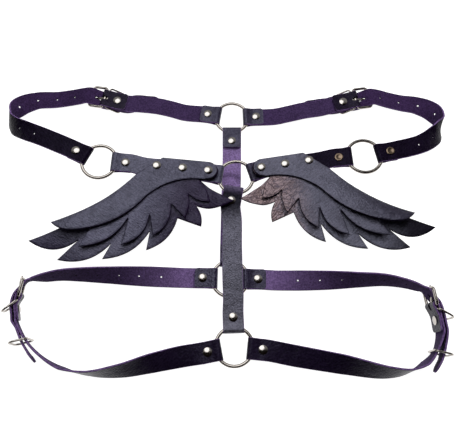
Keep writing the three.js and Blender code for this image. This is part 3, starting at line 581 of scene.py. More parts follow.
def folded_end(place, across, wire, slack, rivet_back, flap_length, main, flap, side, leads=()):
    """One end of a strap folded round a wire, and the frame of its rivet."""
    radius = wire / 2 + FOLD_CLEARANCE + LEATHER / 2
    clamp_end = CLAMP_HALF - rivet_back
    clamp_start = -CLAMP_HALF - rivet_back
    rows = [(s, main) for s in leads] + [(clamp_start, main), (clamp_end, main)]
    for turn in range(-90, 91, FOLD_STEP):
        rows.append((slack + radius * math.cos(math.radians(turn)), radius * math.sin(math.radians(turn))))
    rows += [(clamp_end, flap), (clamp_start, flap)]
    points = [(place(s, side * h), across, STRAP_WIDTH / 2) for s, h in rows]
    for distance in (FLAP_CORNER * share for share in FLAP_CORNER_SHARES):
        corner = FLAP_CORNER - math.sqrt(FLAP_CORNER ** 2 - (FLAP_CORNER - distance) ** 2)
        points.append((place(distance - flap_length, side * flap), across, STRAP_WIDTH / 2 - corner))
    middle = side * (main + flap) / 2
    front, back = place(clamp_end, middle), place(clamp_start, middle)
    ahead = front - back
    rivet_frame = frame_along((front + back) / 2, ahead, ahead.cross(across))
    grip = (abs(flap - main) + LEATHER) / 2
    return points, rivet_frame, grip


def ring_end(ring, bearing, side, climb=0, rivet_back=RIVET_BACK, slack=RING_FOLD_SLACK):
    """A strap end on a ring, seen from the ring: bearing in plan and climb away from it, in degrees."""
    turn = math.radians(bearing)
    away = Vector((math.cos(turn), math.sin(turn), 0))
    wire_point = Vector(RINGS[ring]) + away * RING_RADIUS
    away.z = math.tan(math.radians(climb))
    place = frame_along(wire_point, -away, UP)
    flap_length = max(FLAP_LENGTH, rivet_back + 2 * RIVET_SEAT)
    return folded_end(lambda s, h: place @ Vector((s, 0, h)), axis_of(place, 1), RING_WIRE, slack,
                      rivet_back, flap_length, -LAYER_PITCH / 2, LAYER_PITCH / 2, side)


# Rivets, rings and other metal
def lathe(place, profile, steps):
    return loft([[place @ Vector((x, y, height)) for x, y in circle(radius, steps)]
                 for radius, height in profile])


BACK_CAP_CHAMFER = 0.3
RIM_CHAMFER = 0.15
RIM_EDGE = 0.2
DOME_SHARES = (1, 0.96, 0.88, 0.76, 0.62, 0.46, 0.3, 0.15, 0.005)


def add_rivet(name, place, above, below):
    """Domed or dished cap with a thin rim above and a flat cap below."""
    dished = name in DISHED_RIVETS
    top = above + GAP / 3
    bottom = -below - GAP / 3
    profile = [(BACK_CAP_RADIUS - BACK_CAP_CHAMFER, bottom - BACK_CAP_HEIGHT),
               (BACK_CAP_RADIUS, bottom - BACK_CAP_HEIGHT + BACK_CAP_CHAMFER), (BACK_CAP_RADIUS, bottom),
               (POST_RADIUS, bottom), (POST_RADIUS, top), (DOME_RADIUS - RIM_CHAMFER, top),
               (DOME_RADIUS, top + RIM_EDGE)]
    ball = (DOME_RADIUS ** 2 + DOME_HEIGHT ** 2) / (2 * DOME_HEIGHT)
    for share in DOME_SHARES:
        radius = DOME_RADIUS * share
        rise = DOME_HEIGHT - ball + math.sqrt(ball ** 2 - radius ** 2)
        if dished and share < DISH_SHARE:
            rise = DISH_DEEP + (DISH_RISE - DISH_DEEP) * (share / DISH_SHARE) ** 2
        profile.append((radius, top + DOME_RIM + rise))
    add_metal(name, [lathe(place, profile, RIVET_SIDES)], BROWNED if dished else NICKEL_CAP)


def wire_loop(place, path, wire):
    """A closed wire along a path in the x-y plane of its frame."""
    points, faces = [], []
    count = len(path)
    for i in range(count):
        ahead = (path[(i + 1) % count] - path[i - 1]).normalized()
        for k in range(WIRE_SIDES):
            turn = 2 * math.pi * (k + 0.5) / WIRE_SIDES
            out = math.cos(turn) * wire / 2
            spot = Vector((path[i].x + ahead.y * out, path[i].y - ahead.x * out, math.sin(turn) * wire / 2))
            points.append(place @ spot)
        for k in range(WIRE_SIDES):
            j = (i + 1) % count
            a, b = WIRE_SIDES * i + k, WIRE_SIDES * i + (k + 1) % WIRE_SIDES
            c, d = WIRE_SIDES * j + (k + 1) % WIRE_SIDES, WIRE_SIDES * j + k
            faces.append([a, d, c, b])
    return points, faces


def rounded_path(length, width, near, far):
    """A rectangle from x = 0 to x = length, centred on y = 0, with its near and far corners rounded."""
    corners = [(length - far, width / 2 - far, far), (near, width / 2 - near, near),
               (near, near - width / 2, near), (length - far, far - width / 2, far)]
    path = []
    for quarter, (x, y, radius) in enumerate(corners):
        for k in range(CORNER_STEPS + 1):
            turn = (quarter + k / CORNER_STEPS) * math.pi / 2
            path.append(Vector((x + radius * math.cos(turn), y + radius * math.sin(turn))))
    return path


def add_metal(name, parts, material=NICKEL):
    """One metal piece of several closed bodies."""
    points, faces = joined(parts)
    piece = make_piece(name, points, faces, [material], [0] * len(faces))
    piece.data.set_sharp_from_angle(angle=SHARP_ANGLE)


def add_rings():
    for name, middle in RINGS.items():
        path = [Vector(point) for point in circle(RING_RADIUS, RING_STEPS)]
        add_metal("ring_" + name, [wire_loop(Matrix.Translation(middle), path, RING_WIRE)])


# Buckles: heel bar at 0 and front bar at BUCKLE_LENGTH along the frame, the free strap at height 0
HEEL_RADIUS = BUCKLE_WIRE / 2 + FOLD_CLEARANCE + LEATHER / 2
HEEL_OFF = LAYER_PITCH + HEEL_RADIUS
FRONT_OFF = PRONG_THICK / 2 + GAP + BUCKLE_WIRE / 2
OVER_FRONT_OFF = FRONT_OFF + BUCKLE_WIRE / 2 + 2 * GAP + LEATHER / 2
HEEL_MAIN_OFF = LEATHER + 2 * GAP + BACK_CAP_HEIGHT
BUCKLES = {
    "chest_left": {"at": (-138.6, 135.8, 3.4), "heading": 168, "face": (0, 0, 1), "bend_from": 0, "bend": 0,
                   "lead": (20, 5.2), "aside": 1.3},
    "chest_right": {"at": (139, 134.3, 3.4), "heading": 11.5, "face": (0, 0, 1), "bend_from": 0, "bend": 0,
                    "lead": (20, 5.2), "aside": 1.3},
    "waist_left": {"at": (-205.4, -82.7, 15.4), "heading": 75, "face": (0.92, -0.25, -0.31),
                   "bend_from": -6.2, "bend": 0.11, "lead": (18, 8.5), "aside": 0},
    "waist_right": {"at": (197, -91.8, 13.5), "heading": 103.5, "face": (-0.97, -0.23, 0),
                    "bend_from": -6, "bend": 0.04, "lead": (18, 8.5), "aside": 0},
}
PRONG_SLOT = (-4, 8)
PRONG_SLOT_EASE = 1
PRONG_HOLE = (3.6, 11.6)
PRONG_HOLE_DEPTH = (-3, 8)
SLEEVE_WALL = 0.6
SLEEVE_CROWN = 0.75

# The prong: distance along the buckle, height and share of its width
PRONG_ROWS = [(0.3, HEEL_OFF + 0.9, 1), (3, HEEL_OFF - 0.4, 1), (6, 3.4, 1), (9, 1.9, 0.95), (12, 0.8, 0.9),
              (15, 0.2, 0.85), (18, 0, 0.75), (19.2, -0.05, 0.5)]


def buckle_frame(name):
    buckle = BUCKLES[name]
    turn = math.radians(buckle["heading"])
    along = Vector((math.cos(turn), math.sin(turn), 0))
    return frame_along(Vector(buckle["at"]), along, Vector(buckle["face"]))


def buckle_strap_point(name, along, off):
    """A point of the straps at a buckle, from the distances along and off the face."""
    buckle = BUCKLES[name]
    x, y, turn = max(along, buckle["bend_from"]), 0, 0
    s = buckle["bend_from"]
    while s > along:
        turn += buckle["bend"] * BEND_STEP if s > CLAMP_HALF - HEEL_RIVET_BACK else 0
        x -= math.cos(turn) * BEND_STEP
        y += math.sin(turn) * BEND_STEP
        s -= BEND_STEP
    return buckle_frame(name) @ Vector((x + off * math.sin(turn), 0, y + off * math.cos(turn)))


def heel_end(name):
    main = HEEL_MAIN_OFF - HEEL_OFF
    return folded_end(lambda s, h: buckle_strap_point(name, s, HEEL_OFF + h), axis_of(buckle_frame(name), 1),
                      BUCKLE_WIRE, HEEL_FOLD_SLACK, HEEL_RIVET_BACK, HEEL_FLAP_LENGTH, main,
                      main + LAYER_PITCH, 1, leads=(-HEEL_FLAP_LENGTH,))


def prong_slot(name):
    half = PRONG_WIDTH / 2 + PRONG_SLOT_EASE
    return slot_cutter(buckle_frame(name), *PRONG_SLOT, half, LAYER_PITCH - LEATHER,
                       HEEL_OFF + HEEL_RADIUS + LEATHER)


def prong_hole(name):
    return slot_cutter(buckle_frame(name), *PRONG_HOLE, PRONG_WIDTH / 2 + GAP, *PRONG_HOLE_DEPTH)


def through_buckle(name):
    across = axis_of(buckle_frame(name), 1)
    rows = [BUCKLES[name]["lead"], (BUCKLE_LENGTH, OVER_FRONT_OFF),
            (BUCKLE_LENGTH / 2 + 1, OVER_FRONT_OFF / 2), (1, 0), (CLAMP_HALF - HEEL_RIVET_BACK, 0),
            (-CLAMP_HALF - HEEL_RIVET_BACK, 0), (-HEEL_FLAP_LENGTH, 0)]
    return [(buckle_strap_point(name, s, h), across, STRAP_WIDTH / 2) for s, h in rows]


def add_buckle(name):
    """A wire frame, set aside on its strap, with a prong and the prong's sleeve round the heel bar."""
    place = buckle_frame(name)
    aside = Vector((0, BUCKLES[name]["aside"], 0))
    heel = place @ Vector((0, 0, HEEL_OFF)) + aside
    front = place @ Vector((BUCKLE_LENGTH, 0, FRONT_OFF)) + aside
    loop_frame = frame_along(heel, front - heel, axis_of(place, 2))
    path = rounded_path((front - heel).length, BUCKLE_WIDTH, BUCKLE_CORNER, BUCKLE_CORNER)
    loop = wire_loop(loop_frame, path, BUCKLE_WIRE)
    around = Matrix.Translation(-aside) @ loop_frame @ Matrix.Rotation(math.pi / 2, 4, "X")
    half = PRONG_WIDTH / 2
    bore = BUCKLE_WIRE / 2
    sleeve = lathe(around, [(bore, -half), (bore + SLEEVE_WALL, -half), (bore + SLEEVE_CROWN, 0),
                            (bore + SLEEVE_WALL, half), (bore, half)], SLEEVE_SIDES)
    rows = [(place @ Vector((s, 0, h)), axis_of(place, 1), half * share) for s, h, share in PRONG_ROWS]
    prong_points, _, prong_faces, _ = ribbon_mesh(ribbon_sections(rows), PRONG_THICK)
    add_metal("buckle_" + name, [loop, sleeve, (prong_points, prong_faces)])


def add_keeper(name, inner, outward, along, far_corner):
    width = along.cross(outward)
    place = frame_along(inner, outward, -outward.cross(width))
    path = rounded_path(KEEPER_DEPTH, KEEPER_WIDTH, KEEPER_CORNER, far_corner)
    add_metal("keeper_" + name, [wire_loop(place, path, KEEPER_WIRE)])


CAUGHT_ALONG = -3.4
CAUGHT_OFF = 5.1
CHEST_KEEPER_OFF = -2.4
CHEST_KEEPER_ASIDE = Vector((0, 1.6, 0))
WAIST_KEEPER_OFF = {"left": -4, "right": -7}


def add_caught_keeper(name, buckle, outer_off, far_corner, aside=Vector((0, 0, 0))):
    place = buckle_frame(buckle)
    inner = place @ Vector((CAUGHT_ALONG, 0, CAUGHT_OFF)) + aside
    drop = CAUGHT_OFF - outer_off
    outer = place @ Vector((CAUGHT_ALONG - math.sqrt(KEEPER_DEPTH ** 2 - drop ** 2), 0, outer_off)) + aside
    add_keeper(name, inner, (outer - inner).normalized(), axis_of(place, 0), far_corner)


# Straps of the chest and waist loops
def punched(buckle, first, pitch, count, radius):
    """Cutters for a punched strap: the hole that the prong goes through and a row of others."""
    return lambda sections: [prong_hole(buckle), *holes_along(sections, first, pitch, count, radius)]


def add_heel_strap(loop, half, side, strap, up, grain):
    """The strap of a loop ("chest" or "waist") that runs from a ring to the heel of a buckle."""
    buckle = f"{loop}_{side}"
    rows = strap["rows"]
    ring, ring_rivet, ring_grip = ring_end(*strap["ring"])
    heel, heel_rivet, heel_grip = heel_end(buckle)
    add_strap(f"{loop}_{half}_{side}", ring[::-1] + stations(rows) + heel, up, rows[0][:3],
              lambda sections: [prong_slot(buckle)], grain=grain)
    add_rivet(f"rivet_{loop}_{half}_{side}", ring_rivet, ring_grip, ring_grip)
    add_rivet(f"rivet_{loop}_buckle_{side}", heel_rivet, heel_grip, heel_grip)


# Chest loop: "ring" lists what ring_end takes, "rows" and "tail" what stations takes
CHEST_FRONT = {
    "left": {"ring": ("front_chest", 171, 1),
             "rows": [(-50, 122.3, 1, 90), (-64, 125.8, 2.2, 90), (-80, 129, 3.6, 90),
                      (-100, 130.8, 4.6, 90)]},
    "right": {"ring": ("front_chest", 2, 1),
              "rows": [(50, 117.4, 1, 90), (65, 120.2, 2.2, 90), (81, 123.4, 3.6, 90),
                       (101, 126.3, 4.6, 90)]},
}
CHEST_SIDE = {
    "left": {"bearing": 154.4, "first_hole": 98.8,
             "tail": [(-78, 132.5, 0.95, 90), (-92, 133.5, 0.95, 90), (-104, 134, 1.8, 90)],
             "rows": [(-166, 140.2, 6, 90), (-177, 139.9, 3.2, 90), (-194, 138.6, 1.2, 90),
                      (-216.5, 136.5, 2.4, 107, 8), (-231, 126.5, 7.4, 141, 40), (-238, 110, 13, 186, 112),
                      (-230, 97.5, 17.5, 229, 138), (-216.5, 89.8, 21.5, 243, 160),
                      (-193.5, 79.3, 26, 241, 178)]},
    "right": {"bearing": 10.9, "first_hole": 89.8,
              "tail": [(81, 126.8, 0.95, 90), (94, 128.6, 0.95, 90), (105, 129.9, 1.8, 90)],
              "rows": [(166, 138.2, 6, 90), (176, 137, 3.2, 90), (192, 134.2, 1.2, 90),
                       (208, 130.6, 2.4, 73, 8), (221.5, 120, 7.4, 39, 40), (227, 104, 13, -3, 88),
                       (222, 92.5, 17.5, -40, 130), (214, 83, 21, -52, 160),
                       (197.5, 71.8, 25.5, -59, 178)]},
}
CHEST_HOLE_PITCH = 21.3
CHEST_HOLES = 7
CHEST_RIVET_BACK = 9.5


def add_chest_side(side):
    chest = CHEST_SIDE[side]
    buckle = "chest_" + side
    ring, rivet, grip = ring_end("side_" + side, chest["bearing"], -1, rivet_back=CHEST_RIVET_BACK)
    tail = stations(chest["tail"])[::-1]
    round_tip(tail)
    points = tail[::-1] + through_buckle(buckle)[::-1] + stations(chest["rows"]) + ring
    cuts = punched(buckle, chest["first_hole"], CHEST_HOLE_PITCH, CHEST_HOLES, CHEST_HOLE_RADIUS)
    add_strap("chest_side_" + side, points, "grain", chest["rows"][-1][:3], cuts, GRAIN_SHADED, FLESH_DARK_SHADED_TAIL)
    add_rivet("rivet_chest_side_" + side, rivet, grip, grip)


# Wings: u runs outward from the innermost rivet along the strap, v runs towards the feather tips
WINGS = {
    "left": {"x": -22.4, "y": 42.6, "length": 1, "droop": 0.125, "fan": 0.8, "out": (-0.9983, 0.058),
             "skew": 0.105, "sweep": 0, "bearing": 170.7, "back": 11,
             "side_bearing": -2.5, "side_back": 9.25},
    "right": {"x": 32.6, "y": 45.9, "length": 0.93, "droop": 0.025, "fan": 1.1, "out": (0.9936, 0.1125),
              "skew": 0.2, "sweep": 3.5, "bearing": 17.8, "back": 10,
              "side_bearing": 183, "side_back": 8.25},
}
WING_ROOT_Z = 18.8
WING_RISE = 0.098
WING_CLIMB = math.degrees(math.atan(WING_RISE))
WING_CURL = 0.3
CURL_REACH = 10
ROOT_HALF = 9.3
ROOT_MARGIN = 0.6
ROOT_BELOW = STRAP_WIDTH / 2 + ROOT_MARGIN
WING_RIVETS = (0, 26, 52)
LAYER_STEP = FEATHER_LEATHER + GAP
EDGE_CURL = 0.45
CURL_WIDTH = 4
WAVE_HEIGHT = 0.5
WAVE_SCALE = 0.05
WAVE_SEED = {"left": 0, "right": 50}
WAVE_LAYER_SEED = 7.3
WAVE_FULL_AT = 40
DROOP_RANGE = (-35, 30)
SWEEP_RANGE = (60, 140)
BEND_EASE = 3
BEND_START = 0.2
OUTLINE_STEP = 2.5
GRID_MARGIN = 0.45
GRID_ROW = 0.866
MERGE_DISTANCE = 1e-5
FEATHER_ROUND = 0.4
CROWN_ROOT = Vector((70, 10.6))
CROWN_NORMAL = Vector((-0.596, 0.803))
CROWN_RANGE = (-6, 16)

# Outlines of the layers: each edge row gives u, v and the bow of the curve that leads there
WING_LAYERS = {
    "bottom": {"order": 0, "fan": 0, "crown": 0, "round_u": -1, "outer_top": 45.5, "start": 7,
               "edge": [(-28, 30, -2), (9, 37.5, 5), (3, 58, 2.5), (27, 51, 0), (55, 85, 6), (53, 66, 0),
                        (96, 97, 7), (89, 81, 0), (138, 101, 8), (120, 80, 0), (167, 85, 9), (92, 36, -3),
                        (68.5, ROOT_BELOW, 0)]},
    "middle": {"order": 1, "fan": 0.07, "crown": 0, "round_u": -0.5, "outer_top": 46, "start": 8,
               "edge": [(-4, 33, 2), (18, 26.5, 2.5), (19.5, 51.5, 2.5), (34, 38, 0), (49, 72, 6),
                        (54, 50, 0), (78, 83, 7), (74, 55, 0), (118, 88, 8), (108, 66, 0), (80, 32, -3),
                        (69, ROOT_BELOW, 0)]},
    "blade": {"order": 2, "fan": 0.14, "crown": 3.5, "round_u": 0, "outer_top": 46.5, "start": 3,
              "edge": [(59, 34, -7), (128, 74, 9), (146, 67, 2), (70, ROOT_BELOW, -6)]},
}


def smooth_step(value, low_end, high_end):
    t = min(1, max(0, (value - low_end) / (high_end - low_end)))
    return t * t * (3 - 2 * t)


def below_root(v):
    """Distance past the strap's edge, eased in."""
    d = v - ROOT_BELOW
    return max(0, (d + math.sqrt(d * d + BEND_EASE ** 2)) / 2 - BEND_START)


def wing_point(side, u, v, lift):
    """The point at u and v of a wing, lifted off the middle of its strap."""
    wing = WINGS[side]
    out_x, out_y = wing["out"]
    inward = math.copysign(out_y, out_x)
    drop = wing["droop"] * smooth_step(u, *DROOP_RANGE) * below_root(v)
    inside = min(CURL_REACH, max(0, -CLAMP_HALF - u + wing["skew"] * min(v, ROOT_BELOW)))
    rise = WING_RISE * u + (WING_RISE + WING_CURL) * inside
    reach = wing["length"] * u
    return Vector((wing["x"] + out_x * reach + inward * v, wing["y"] + out_y * reach - abs(out_x) * v,
                   WING_ROOT_Z + rise - drop + lift))


def layer_outline(layer):
    """Points round a wing layer in u and v: round inner end, feathers, then back along the strap."""
    outline = [Vector((layer["outer_top"], -ROOT_HALF))]
    for k in range(CURVE_STEPS + 1):
        turn = math.pi * (1.5 - k / CURVE_STEPS)
        outline.append(Vector((layer["round_u"] + ROOT_HALF * math.cos(turn), ROOT_HALF * math.sin(turn))))
    outline.append(Vector((layer["start"], ROOT_BELOW)))
    for u, v, bow in layer["edge"]:
        start, end = outline[-1].copy(), Vector((u, v))
        step = end - start
        control = (start + end) / 2 + Vector((-step.y, step.x)) * 2 * bow / step.length
        steps = max(2, round(step.length / OUTLINE_STEP))
        for k in range(1, steps + 1):
            f = k / steps
            outline.append(start * (1 - f) ** 2 + control * 2 * f * (1 - f) + end * f * f)
    return outline


def edge_distance(outline, q):
    """Distance of q from the nearest edge of the outline."""
    nearest = math.inf
    for i, b in enumerate(outline):
        a = outline[i - 1]
        share = min(1, max(0, geometry.intersect_point_line(q, a, b)[1]))
        nearest = min(nearest, (a + (b - a) * share - q).length)
    return nearest


def inside_outline(outline, q, margin):
    """True if q is inside the outline and further than the margin from its edge."""
    inside = False
    for i, b in enumerate(outline):
        a = outline[i - 1]
        if (a.y > q.y) != (b.y > q.y) and q.x < (b.x - a.x) * (q.y - a.y) / (b.y - a.y) + a.x:
            inside = not inside
    return inside and edge_distance(outline, q) > margin


def fill_outline(outline):
    """Even triangles over an outline, as points and faces."""
    points = list(outline)
    edges = [(i - 1 if i else len(outline) - 1, i) for i in range(len(outline))]
    low_u, high_u = min(p.x for p in outline), max(p.x for p in outline)
    low_v, high_v = min(p.y for p in outline), max(p.y for p in outline)
    row = 0
    v = low_v + FEATHER_GRID / 2
    while v < high_v:
        u = low_u + FEATHER_GRID * (0.5 if row % 2 else 1)
        while u < high_u:
            q = Vector((u, v))
            if inside_outline(outline, q, FEATHER_GRID * GRID_MARGIN):
                points.append(q)
            u += FEATHER_GRID
        v += FEATHER_GRID * GRID_ROW
        row += 1
    made = geometry.delaunay_2d_cdt(points, edges, [], 1, MERGE_DISTANCE)
    return made[0], made[2]


def border_of(faces):
    """The next point along the border, for each border point of a mesh."""
    edges = {(a, b) for face in faces for a, b in zip(face, face[1:] + face[:1])}
    return {a: b for a, b in edges if (b, a) not in edges}


def layer_point(side, name, outline, q, off):
    """A point of a wing layer: waved, curled at its edge, crowned, swept and fanned out."""
    layer, wing = WING_LAYERS[name], WINGS[side]
    seed = layer["order"] * WAVE_LAYER_SEED + WAVE_SEED[side]
    wave = WAVE_HEIGHT * noise.noise(Vector((q.x * WAVE_SCALE, q.y * WAVE_SCALE, seed)))
    curl = EDGE_CURL * math.exp(-edge_distance(outline, q) / CURL_WIDTH)
    crown = layer["crown"] * (1 - smooth_step(CROWN_NORMAL.dot(q - CROWN_ROOT), *CROWN_RANGE))
    wave = (wave - curl - crown) * smooth_step(q.y, ROOT_BELOW, WAVE_FULL_AT)
    sweep = wing["sweep"] * smooth_step(q.x, *SWEEP_RANGE) if name == "blade" else 0
    middle = LEATHER / 2 + GAP + FEATHER_LEATHER / 2 + layer["order"] * LAYER_STEP
    fan = layer["fan"] * wing["fan"] * below_root(q.y)
    return wing_point(side, q.x, q.y + sweep, middle + off + wave + fan)


def add_wing_layer(side, name):
    outline = layer_outline(WING_LAYERS[name])
    flat, faces = fill_outline(outline)
    facing = 1 if side == "left" else -1
    faces = [list(face)[::facing] for face in faces]
    ahead = border_of(faces)
    behind = {b: a for a, b in ahead.items()}
    half = FEATHER_LEATHER / 2
    pulled = list(flat)
    for i in ahead:
        run = (flat[ahead[i]] - flat[behind[i]]).normalized()
        pulled[i] = flat[i] + Vector((-run.y, run.x)) * facing * FEATHER_ROUND

    def raised(q, off):
        return layer_point(side, name, outline, q, off)

    points = [raised(q, half) for q in pulled] + [raised(q, -half) for q in pulled]
    uvs = [q * MM for q in pulled] * 2
    count = len(flat)
    rim = {}
    for i in ahead:
        rim[i] = len(points)
        points += [raised(flat[i], half - FEATHER_ROUND), raised(flat[i], FEATHER_ROUND - half)]
        uvs += [flat[i] * MM] * 2
    made = faces + [[i + count for i in face[::-1]] for face in faces]
    kinds = [0] * len(faces) + [1] * len(faces)
    for a, b in ahead.items():
        made.append([b, a, rim[a], rim[b]])
        made.append([rim[b], rim[a], rim[a] + 1, rim[b] + 1])
        made.append([rim[b] + 1, rim[a] + 1, a + count, b + count])
        kinds += [2, 2, 2]
    materials = [WING_GRAIN[side][WING_LAYERS[name]["order"]], FLESH, FEATHER_EDGE_SHADE]
    make_piece(f"wing_{name}_{side}", points, made, materials, kinds, uvs)


def add_wing(side):
    wing = WINGS[side]
    inner, _, _ = ring_end("centre_back", wing["bearing"], -1, WING_CLIMB, wing["back"], WING_FOLD_SLACK)
    outer, rivet, grip = ring_end("side_" + side, wing["side_bearing"], -1, -WING_CLIMB, wing["side_back"])
    middles = [wing_point(side, u + WING_RIVETS[1] / 2, 0, 0) for u in WING_RIVETS]
    points = inner[::-1] + stations([(*p, 90) for p in middles]) + outer
    add_strap("wing_strap_" + side, points, "grain", middles[1],
              grain=BLADE_LEFT if side == "left" else GRAIN_WING_STRAP_SHADED)
    for name in WING_LAYERS:
        add_wing_layer(side, name)
    stack = LEATHER / 2 + len(WING_LAYERS) * LAYER_STEP
    for i, u in enumerate(WING_RIVETS):
        place = frame_along(wing_point(side, u, 0, 0), Vector((*wing["out"], WING_RISE)), UP)
        below = LEATHER / 2 + (LAYER_PITCH + GAP if i == 0 else 0)
        add_rivet(f"rivet_wing_{side}_{i + 1}", place, stack, below)
    add_rivet("rivet_wing_strap_" + side, rivet, grip, grip)


# Upright straps
UPRIGHTS = {
    "front": {"top": ("front_chest", 270, 1, 0, 11),
              "rows": [(2, 66, 1, 0), (1.4, 36, 1, 0), (0.8, 6, 1, 0), (0.2, -22, 1, 0)],
              "foot": ("waist_front", 90, 1), "up": "flesh"},
    "back": {"top": ("centre_back", 259.7, -1, -5, 8, 4),
             "rows": [(2, -8, 13.6, 0), (2, -34, 12.2, 0), (2.4, -60, 11.2, 0), (3.2, -84, 9.8, 0)],
             "foot": ("waist_back", 92, -1, 0, 9.3), "up": "grain"},
}


def add_upright(name):
    upright = UPRIGHTS[name]
    upper, upper_rivet, upper_grip = ring_end(*upright["top"])
    lower, lower_rivet, lower_grip = ring_end(*upright["foot"])
    rows = upright["rows"]
    add_strap(name + "_vertical", upper[::-1] + stations(rows) + lower, upright["up"], rows[1][:3],
              grain=GRAIN_UPRIGHT_SHEEN_SHADOW if name == "back" else GRAIN, flesh=FLESH_UPRIGHT_LIT)
    add_rivet(f"rivet_{name}_vertical_top", upper_rivet, upper_grip, upper_grip)
    add_rivet(f"rivet_{name}_vertical_foot", lower_rivet, lower_grip, lower_grip)


# Waist loop
WAIST_FRONT = {
    "left": {"ring": ("waist_front", 178.6, 1, 0, 9.2),
             "rows": [(-46, -63.5, 1, 90, 0), (-80, -63, 5.4, 90, 20), (-118, -62.3, 8.8, 90, 47),
                      (-147, -62, 10, 90, 61), (-166, -62.6, 10.6, 92, 71), (-181, -65.2, 11.4, 102, 80)],
             "tail": [(-200.3, -114.5, 12.6, 190, 108), (-193.5, -127, 12.4, 205, 106),
                      (-187, -136, 11.5, 215, 104), (-180, -144, 11, 215, 102)]},
    "right": {"ring": ("waist_front", -1.2, 1, 0, 10),
              "rows": [(46, -66, 1, 90, 0), (82, -67, 6.3, 90, 25), (123, -67, 9.2, 90, 53),
                       (150, -67.3, 10.2, 90, 67), (166, -69.9, 10.8, 84, 76), (177, -73, 11.6, 74, 82)],
              "tail": [(198.4, -129, 12.9, 0, 98), (194.4, -141.5, 12.6, 0, 102),
                       (187.4, -153, 11.5, 0, 102)]},
}
WAIST_FIRST_HOLE = 81
WAIST_HOLE_PITCH = 20.7
WAIST_HOLES = 6


def add_waist_front(side):
    waist = WAIST_FRONT[side]
    buckle = "waist_" + side
    ring, rivet, grip = ring_end(*waist["ring"])
    points = ring[::-1] + stations(waist["rows"]) + through_buckle(buckle) + stations(waist["tail"])
    round_tip(points)
    cuts = punched(buckle, WAIST_FIRST_HOLE, WAIST_HOLE_PITCH, WAIST_HOLES, WAIST_HOLE_RADIUS)
    add_strap("waist_front_" + side, points, "flesh", waist["rows"][0][:3], cuts, flesh=FLESH_WAIST_SHADED)
    add_rivet("rivet_waist_front_" + side, rivet, grip, grip)


WAIST_BACK = {
    "left": {"ring": ("waist_back", 191.3, -1, 0, 7.7),
             "rows": [(-46, -139, 6, 90, 12), (-74, -145, 6.4, 90, 30), (-101, -151.5, 9, 90, 55),
                      (-130, -154, 10.3, 90, 80), (-155, -149.5, 10.5, 90, 92), (-174, -139.5, 11.5, 215, 98),
                      (-189.8, -125.3, 12.5, 205, 104)]},
    "right": {"ring": ("waist_back", -6.3, -1, 0, 9.4),
              "rows": [(60, -138, 6, 90, 10), (106, -146, 7, 90, 30), (145, -153, 10, 90, 60),
                       (165, -152, 11, 90, 80), (180, -145, 12, 90, 94), (190.4, -134, 12.8, 0, 101)]},
}
LOWER_KEEPERS = {
    "left": {"inner": (-186.6, -123.6, 12.6), "outward": (-0.95, -0.26, 0.1), "along": (0.3, -0.94, 0)},
    "right": {"inner": (186.6, -134.1, 12.6), "outward": (0.96, -0.24, 0.1), "along": (-0.25, -0.97, 0)},
}


def add_keepers(side):
    lower = LOWER_KEEPERS[side]
    add_caught_keeper("chest_" + side, "chest_" + side, CHEST_KEEPER_OFF, KEEPER_CORNER, CHEST_KEEPER_ASIDE)
    add_caught_keeper(f"waist_{side}_upper", "waist_" + side, WAIST_KEEPER_OFF[side], WAIST_KEEPER_CORNER)
    add_keeper(f"waist_{side}_lower", Vector(lower["inner"]), Vector(lower["outward"]).normalized(),
               Vector(lower["along"]).normalized(), WAIST_KEEPER_CORNER)


add_rings()
for upright_name in UPRIGHTS:
    add_upright(upright_name)
for side_name in WINGS:
    add_heel_strap("chest", "front", side_name, CHEST_FRONT[side_name], "flesh", GRAIN_CHEST)
    add_chest_side(side_name)
    add_wing(side_name)
    add_waist_front(side_name)
    add_heel_strap("waist", "back", side_name, WAIST_BACK[side_name], "grain", GRAIN_WAIST_SHADED)
    add_keepers(side_name)
for buckle_name in BUCKLES:
    add_buckle(buckle_name)


# Table, light and camera; the table and the lights in metres
TABLE_HALF = 4
TABLE_GREY = 0.3
TABLE_ROUGH = 0.9
WALL_RADIUS = 3.9
WALL_HEIGHT = 4
WALL_SIDES = 48
LIGHTS = {
    "key": {"place": (0.45, 0.6, 0.9), "size": 0.3, "power": 10, "colour": (1, 0.99, 0.97),
            "mirrored": False},
    "softbox": {"place": (-0.2, 0.4, 1.0), "size": 1.1, "power": 6.4, "colour": (0.97, 0.98, 1),
                "mirrored": True},
}
SKY_STOPS = [(0.44, (0.02, 0.012, 0.01)), (0.56, (0.35, 0.33, 0.32)), (0.7, (1, 1, 1))]
SKY_STRENGTH = 0.28
CAMERA_TILT = math.radians(18)
CAMERA_DISTANCE = 500
FOCAL_PIXELS = 482
PHOTO_WIDTH = 460
SENSOR_WIDTH = 36


def add_stage(name, points, faces, material):
    mesh = bpy.data.meshes.new(name)
    mesh.from_pydata(points, [], faces)
    mesh.materials.append(material)
    piece = bpy.data.objects.new(name, mesh)
    bpy.context.scene.collection.objects.link(piece)
    return piece


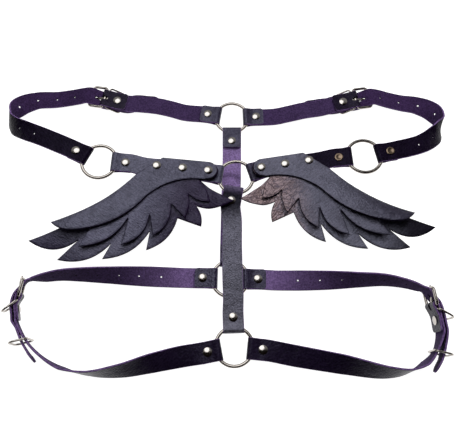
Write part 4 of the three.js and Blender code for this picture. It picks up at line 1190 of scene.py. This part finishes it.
def add_table():
    """A white table, and a white wall round it that lights and mirrors nothing."""
    material, _, shader = new_material("table")
    shader.inputs["Base Color"].default_value = (TABLE_GREY, TABLE_GREY, TABLE_GREY, 1)
    shader.inputs["Roughness"].default_value = TABLE_ROUGH
    shader.inputs["Emission Color"].default_value = (1, 1, 1, 1)
    shader.inputs["Emission Strength"].default_value = 1
    half = TABLE_HALF
    corners = [(-half, -half, 0), (half, -half, 0), (half, half, 0), (-half, half, 0)]
    add_stage("table", corners, [(0, 1, 2, 3)], material)
    ground = circle(WALL_RADIUS, WALL_SIDES)
    points, faces = loft([[(x, y, height) for x, y in ground] for height in (0, WALL_HEIGHT)])
    wall = add_stage("backdrop", points, faces[:WALL_SIDES], material)
    wall.visible_diffuse = wall.visible_glossy = wall.visible_transmission = wall.visible_shadow = False


def add_light(name, place, size, power, colour, mirrored):
    """A round lamp that points at the middle of the harness."""
    data = bpy.data.lights.new(name, "AREA")
    data.shape = "DISK"
    data.size = size
    data.energy = power
    data.color = colour
    light = bpy.data.objects.new(name, data)
    light.location = place
    light.rotation_mode = "QUATERNION"
    light.rotation_quaternion = (-Vector(place)).to_track_quat("-Z", "Y")
    light.visible_glossy = mirrored
    bpy.context.scene.collection.objects.link(light)


def add_world():
    """A sky that is dark behind the camera and white beyond the harness."""
    world = bpy.data.worlds.new("studio")
    world.use_nodes = True
    tree = world.node_tree
    way = add_node(tree, "ShaderNodeTexCoord").outputs["Generated"]
    depth = add_node(tree, "ShaderNodeSeparateXYZ", {"Vector": way}).outputs["Y"]
    sky = ramp(tree, maths(tree, "ADD", maths(tree, "MULTIPLY", depth, 0.5), 0.5), SKY_STOPS)
    back = tree.nodes["Background"]
    tree.links.new(sky, back.inputs["Color"])
    back.inputs["Strength"].default_value = SKY_STRENGTH
    bpy.context.scene.world = world


def add_camera():
    data = bpy.data.cameras.new("camera")
    data.sensor_width = SENSOR_WIDTH
    data.lens = SENSOR_WIDTH * FOCAL_PIXELS / PHOTO_WIDTH
    camera = bpy.data.objects.new("camera", data)
    back, up = -CAMERA_DISTANCE * math.sin(CAMERA_TILT), CAMERA_DISTANCE * math.cos(CAMERA_TILT)
    camera.location = to_row((0, back, up))
    camera.rotation_euler = (CAMERA_TILT, 0, 0)
    bpy.context.scene.collection.objects.link(camera)
    bpy.context.scene.camera = camera


add_table()
add_world()
for light_name, light_settings in LIGHTS.items():
    add_light(light_name, **light_settings)
add_camera()
bpy.context.scene.view_settings.view_transform = "Standard"
